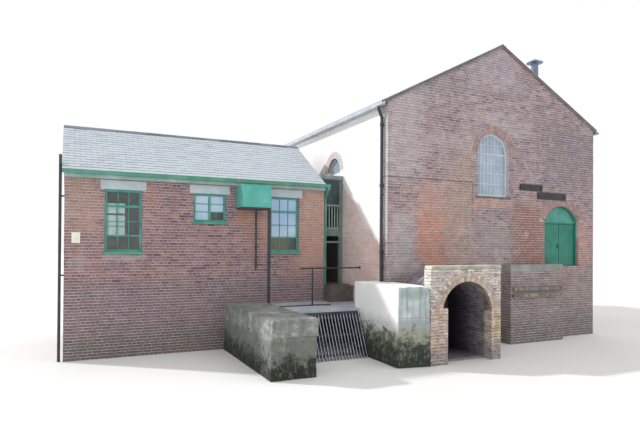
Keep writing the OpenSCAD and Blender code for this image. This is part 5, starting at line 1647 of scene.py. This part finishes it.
dice = random.Random(31)
bm = bmesh.new()
for left, right in ((8.19, 8.862), (8.87, 9.5), (9.508, 10.46)):
    add_block(bm, (left, COPING_FRONT, COPING_LOW), (right, COPING_BACK, COPING_TOP), 0.014)
long_edges = [edge for edge in bm.edges if edge.calc_length() > 0.2]
bmesh.ops.subdivide_edges(bm, edges=long_edges, cuts=5, use_grid_fill=True)
for vert in bm.verts:
    vert.co += Vector((0.0, dice.uniform(-0.004, 0.004), dice.uniform(-0.004, 0.003)))
stones = finish_piece("portal_coping_stones", bm, coping_stone)
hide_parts("portal_coping")

# %% [markdown]
# ## Weathered concrete
# A century of frost has rounded the arrises of the abutment and the intake wall and pitted
# their faces. A plain block has nothing to move, so it is first cut into small squares, one
# direction at a time. Then every corner point moves inwards by a noise, and those on an edge
# of the block move further, because two faces weather there at once.

# %% Weathered concrete: one block
LOW_X, HIGH_X, LOW_Y, HIGH_Y, HIGH_Z = (0, 0), (0, 1), (1, 0), (1, 1), (2, 1)


def weather_block(bm, low, high, spacing, depth, seed, worn):
    """Adds a block whose worn sides, given as (axis, 0 low or 1 high), are pitted."""
    before = set(bm.verts)
    add_block(bm, low, high)
    low, high = at(*low), at(*high)
    for axis in range(3):
        span = high[axis] - low[axis]
        edges = [
            edge for edge in {e for v in bm.verts if v not in before for e in v.link_edges}
            if abs(edge.verts[0].co[axis] - edge.verts[1].co[axis]) > span * 0.9
        ]
        cuts = max(1, round(span / spacing))
        bmesh.ops.subdivide_edges(bm, edges=edges, cuts=cuts, use_grid_fill=True)
    shift = Vector((seed * 7.1, seed * 3.3, seed * 1.7))
    for vert in [v for v in bm.verts if v not in before]:
        inward = Vector()
        for axis, side in worn:
            if abs(vert.co[axis] - (low, high)[side][axis]) < 1e-5:
                inward[axis] += 1 - 2 * side
        pit = max(0.0, turbulence(vert.co * 2.3 + shift, 4, False))
        edge = 1.0 + 1.6 * (sum(abs(c) for c in inward) > 1.5)
        vert.co += inward * depth * pit * edge


print("a block can be weathered")

# %% [markdown]
# ## Abutment and intake wall
# The abutment has a wider cap on a narrower foot. The intake wall is two blocks, a short one
# beside the landing and a long one that turns out to meet the front of the portal, so its
# points move forward the nearer they lie to that corner. A small block closes the corner
# between the landing and the wall.

# %% Abutment and intake wall
SPLAY, SPLAY_START, SPLAY_RUN = 0.149, -3.0, 0.95
INTAKE_LEFT, INTAKE_WIDTH = 7.33, 0.86

bm = bmesh.new()
all_round = (LOW_X, HIGH_X, LOW_Y, HIGH_Y, HIGH_Z)
weather_block(bm, (4.1, -4.0, 0.95), (5.2, 0.0, 1.33), 0.06, 0.022, 1, all_round)
weather_block(bm, (4.1, -3.94, 0.0), (5.19, 0.0, 0.95), 0.07, 0.022, 2, all_round)
weathered = finish_piece("weathered_abutment", bm, abutment_concrete)
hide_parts("left_abutment")

bm = bmesh.new()
long_worn, short_worn = (LOW_X, HIGH_X, LOW_Y, HIGH_Z), (LOW_X, HIGH_Y, HIGH_Z)
weather_block(bm, (INTAKE_LEFT, -4.0, 0.0), (8.19, -2.4, 1.97), 0.06, 0.016, 3, long_worn)
weather_block(bm, (INTAKE_LEFT, -2.4, 0.0), (8.03, -1.85, 1.97), 0.06, 0.016, 3, short_worn)
for vert in bm.verts:
    place = vert.co - DATUM
    forward = min(1.0, max(0.0, (SPLAY_START - place.y) / SPLAY_RUN))
    vert.co.y -= SPLAY * forward * (place.x - INTAKE_LEFT) / INTAKE_WIDTH
weathered = finish_piece("weathered_intake_wall", bm, intake_concrete)
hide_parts("intake_wall")

bm = bmesh.new()
add_block(bm, (7.252, -0.268, 1.25), (7.33, 0.0, 1.63), 0.004)
finish_piece("landing_infill", bm, damp_concrete)

# %% [markdown]
# ## Bolts and washers
# The iron plates tie the front wall to the floor beams and the walings are spiked to the
# brick ledge. Each bolt shows as a round washer with a domed head. The heads are flattened
# spheres, with few faces because there are many.

# %% Bolts and washers
def add_bolt(bm, x, face, z, washer, proud, head, sides, ease_by):
    add_bar(bm, (x, face - proud, z), (x, face, z), washer, ease_by, sides)
    add_bolt_head(bm, (x, face - proud, z), head)


bm = bmesh.new()
for left, right, z in ((12.935, 13.917, 4.847), (13.695, 14.997, 4.605)):
    for share in (0.06, 0.5, 0.94):
        add_bolt(bm, left + share * (right - left), -2.42, z, 0.042, 0.012, 0.022, 20, 0.003)
finish_piece("plate_bolts", bm, plate_iron)

bm = bmesh.new()
for z in (1.47, 1.67):
    for step in range(5):
        add_bolt(bm, 12.42 + step * 0.45, -2.86, z, 0.026, 0.006, 0.014, 16, 0.002)
finish_piece("waling_bolts", bm, pipe_iron)

# %% [markdown]
# ## Link boards, hood trim and deck kerbs
# The upper part of the link is closed with upright boards, the hood is framed with a beading
# along its edges, and two dark kerbs cross the deck in front of the screen.

# %% Link boards, hood trim and deck kerbs
bm = bmesh.new()
board_row(bm, 7.335, 7.905, 4.275, 5.055, 0.262, 0.272, 7, 0.006, 0.004)
finish_piece("link_front_boards", bm, board_teal)

bm = bmesh.new()
for z, tall in ((4.02, 0.05), (4.62, 0.03)):
    add_block(bm, (4.45, -0.63, z), (5.29, -0.618, z + tall), 0.003)
    add_block(bm, (4.44, -0.63, z), (4.452, 0.0, z + tall), 0.003)
    add_block(bm, (5.288, -0.63, z), (5.3, 0.0, z + tall), 0.003)
finish_piece("hood_trim", bm, hood_green)

# A dark strip under the hood is painted shade for its open underside.
bm = bmesh.new()
add_block(bm, (4.46, -0.6, 3.975), (5.28, -0.012, 4.018), 0.004)
finish_piece("hood_underside_shade", bm, deck_iron)

bm = bmesh.new()
add_block(bm, (5.2, -1.12, 1.25), (6.95, -1.07, 1.28), 0.006)
add_block(bm, (5.2, -2.112, 1.122), (7.27, -2.1, 1.188), 0.003)
finish_piece("deck_kerb", bm, deck_iron)

# %% [markdown]
# ## Light and ground
# The station stands in plain soft light, as in a studio with white walls: the world is an
# even white, and a broad soft sun comes from behind on the left, where the real one stood.
# It draws the long slanting shadow of the pump house on the tall house. Camera, glossy
# and transmitted rays see plain white, so the backdrop costs no light. The ground is a pale
# plane that keeps the shadow.

# %% Light and ground
WORLD_STRENGTH, SUN_STRENGTH, SUN_WIDTH = 0.96, 2.4, math.radians(2.5)
SUN_TRAVEL = Vector((1.0, -0.78, -0.81)).normalized()
GROUND_SIZE, GROUND_DROP = 160.0, 0.002

world = bpy.data.worlds.new("studio")
bpy.context.scene.world = world
world.use_nodes = True
tree = world.node_tree
background = tree.nodes["Background"]
background.inputs["Color"].default_value = (1.0, 1.0, 1.0, 1.0)
paths = add(tree, "ShaderNodeLightPath").outputs
seen = sums(tree, "MAXIMUM", paths["Is Camera Ray"], paths["Is Glossy Ray"])
seen = sums(tree, "MAXIMUM", seen, paths["Is Transmission Ray"])
tree.links.new(between(tree, seen, WORLD_STRENGTH, 1.0), background.inputs["Strength"])

sun_data = bpy.data.lights.new("sun", "SUN")
sun_data.energy, sun_data.angle = SUN_STRENGTH, SUN_WIDTH
sun = bpy.data.objects.new("sun", sun_data)
sun.matrix_world = SUN_TRAVEL.to_track_quat("-Z", "Y").to_matrix().to_4x4()
bpy.context.scene.collection.objects.link(sun)

ground_material, tree, shader = new_material("ground", specular=0.2)
tones = [(0.3, paint((232, 232, 230))), (0.7, paint((238, 238, 236)))]
soft = ramp(tree, noise(tree, object_place(tree), 0.15, 2.0), tones)
finish_with(tree, shader, soft, 0.9)
bm = bmesh.new()
bmesh.ops.create_grid(bm, x_segments=1, y_segments=1, size=GROUND_SIZE)
bmesh.ops.translate(bm, verts=bm.verts, vec=(0.0, 0.0, -GROUND_DROP))
ground_mesh = bpy.data.meshes.new("ground")
bm.to_mesh(ground_mesh)
bm.free()
ground_mesh.materials.append(ground_material)
ground = bpy.data.objects.new("ground", ground_mesh)
bpy.context.scene.collection.objects.link(ground)
bpy.context.scene.view_settings.view_transform = "Standard"
print("sun travels", [round(c, 3) for c in SUN_TRAVEL])
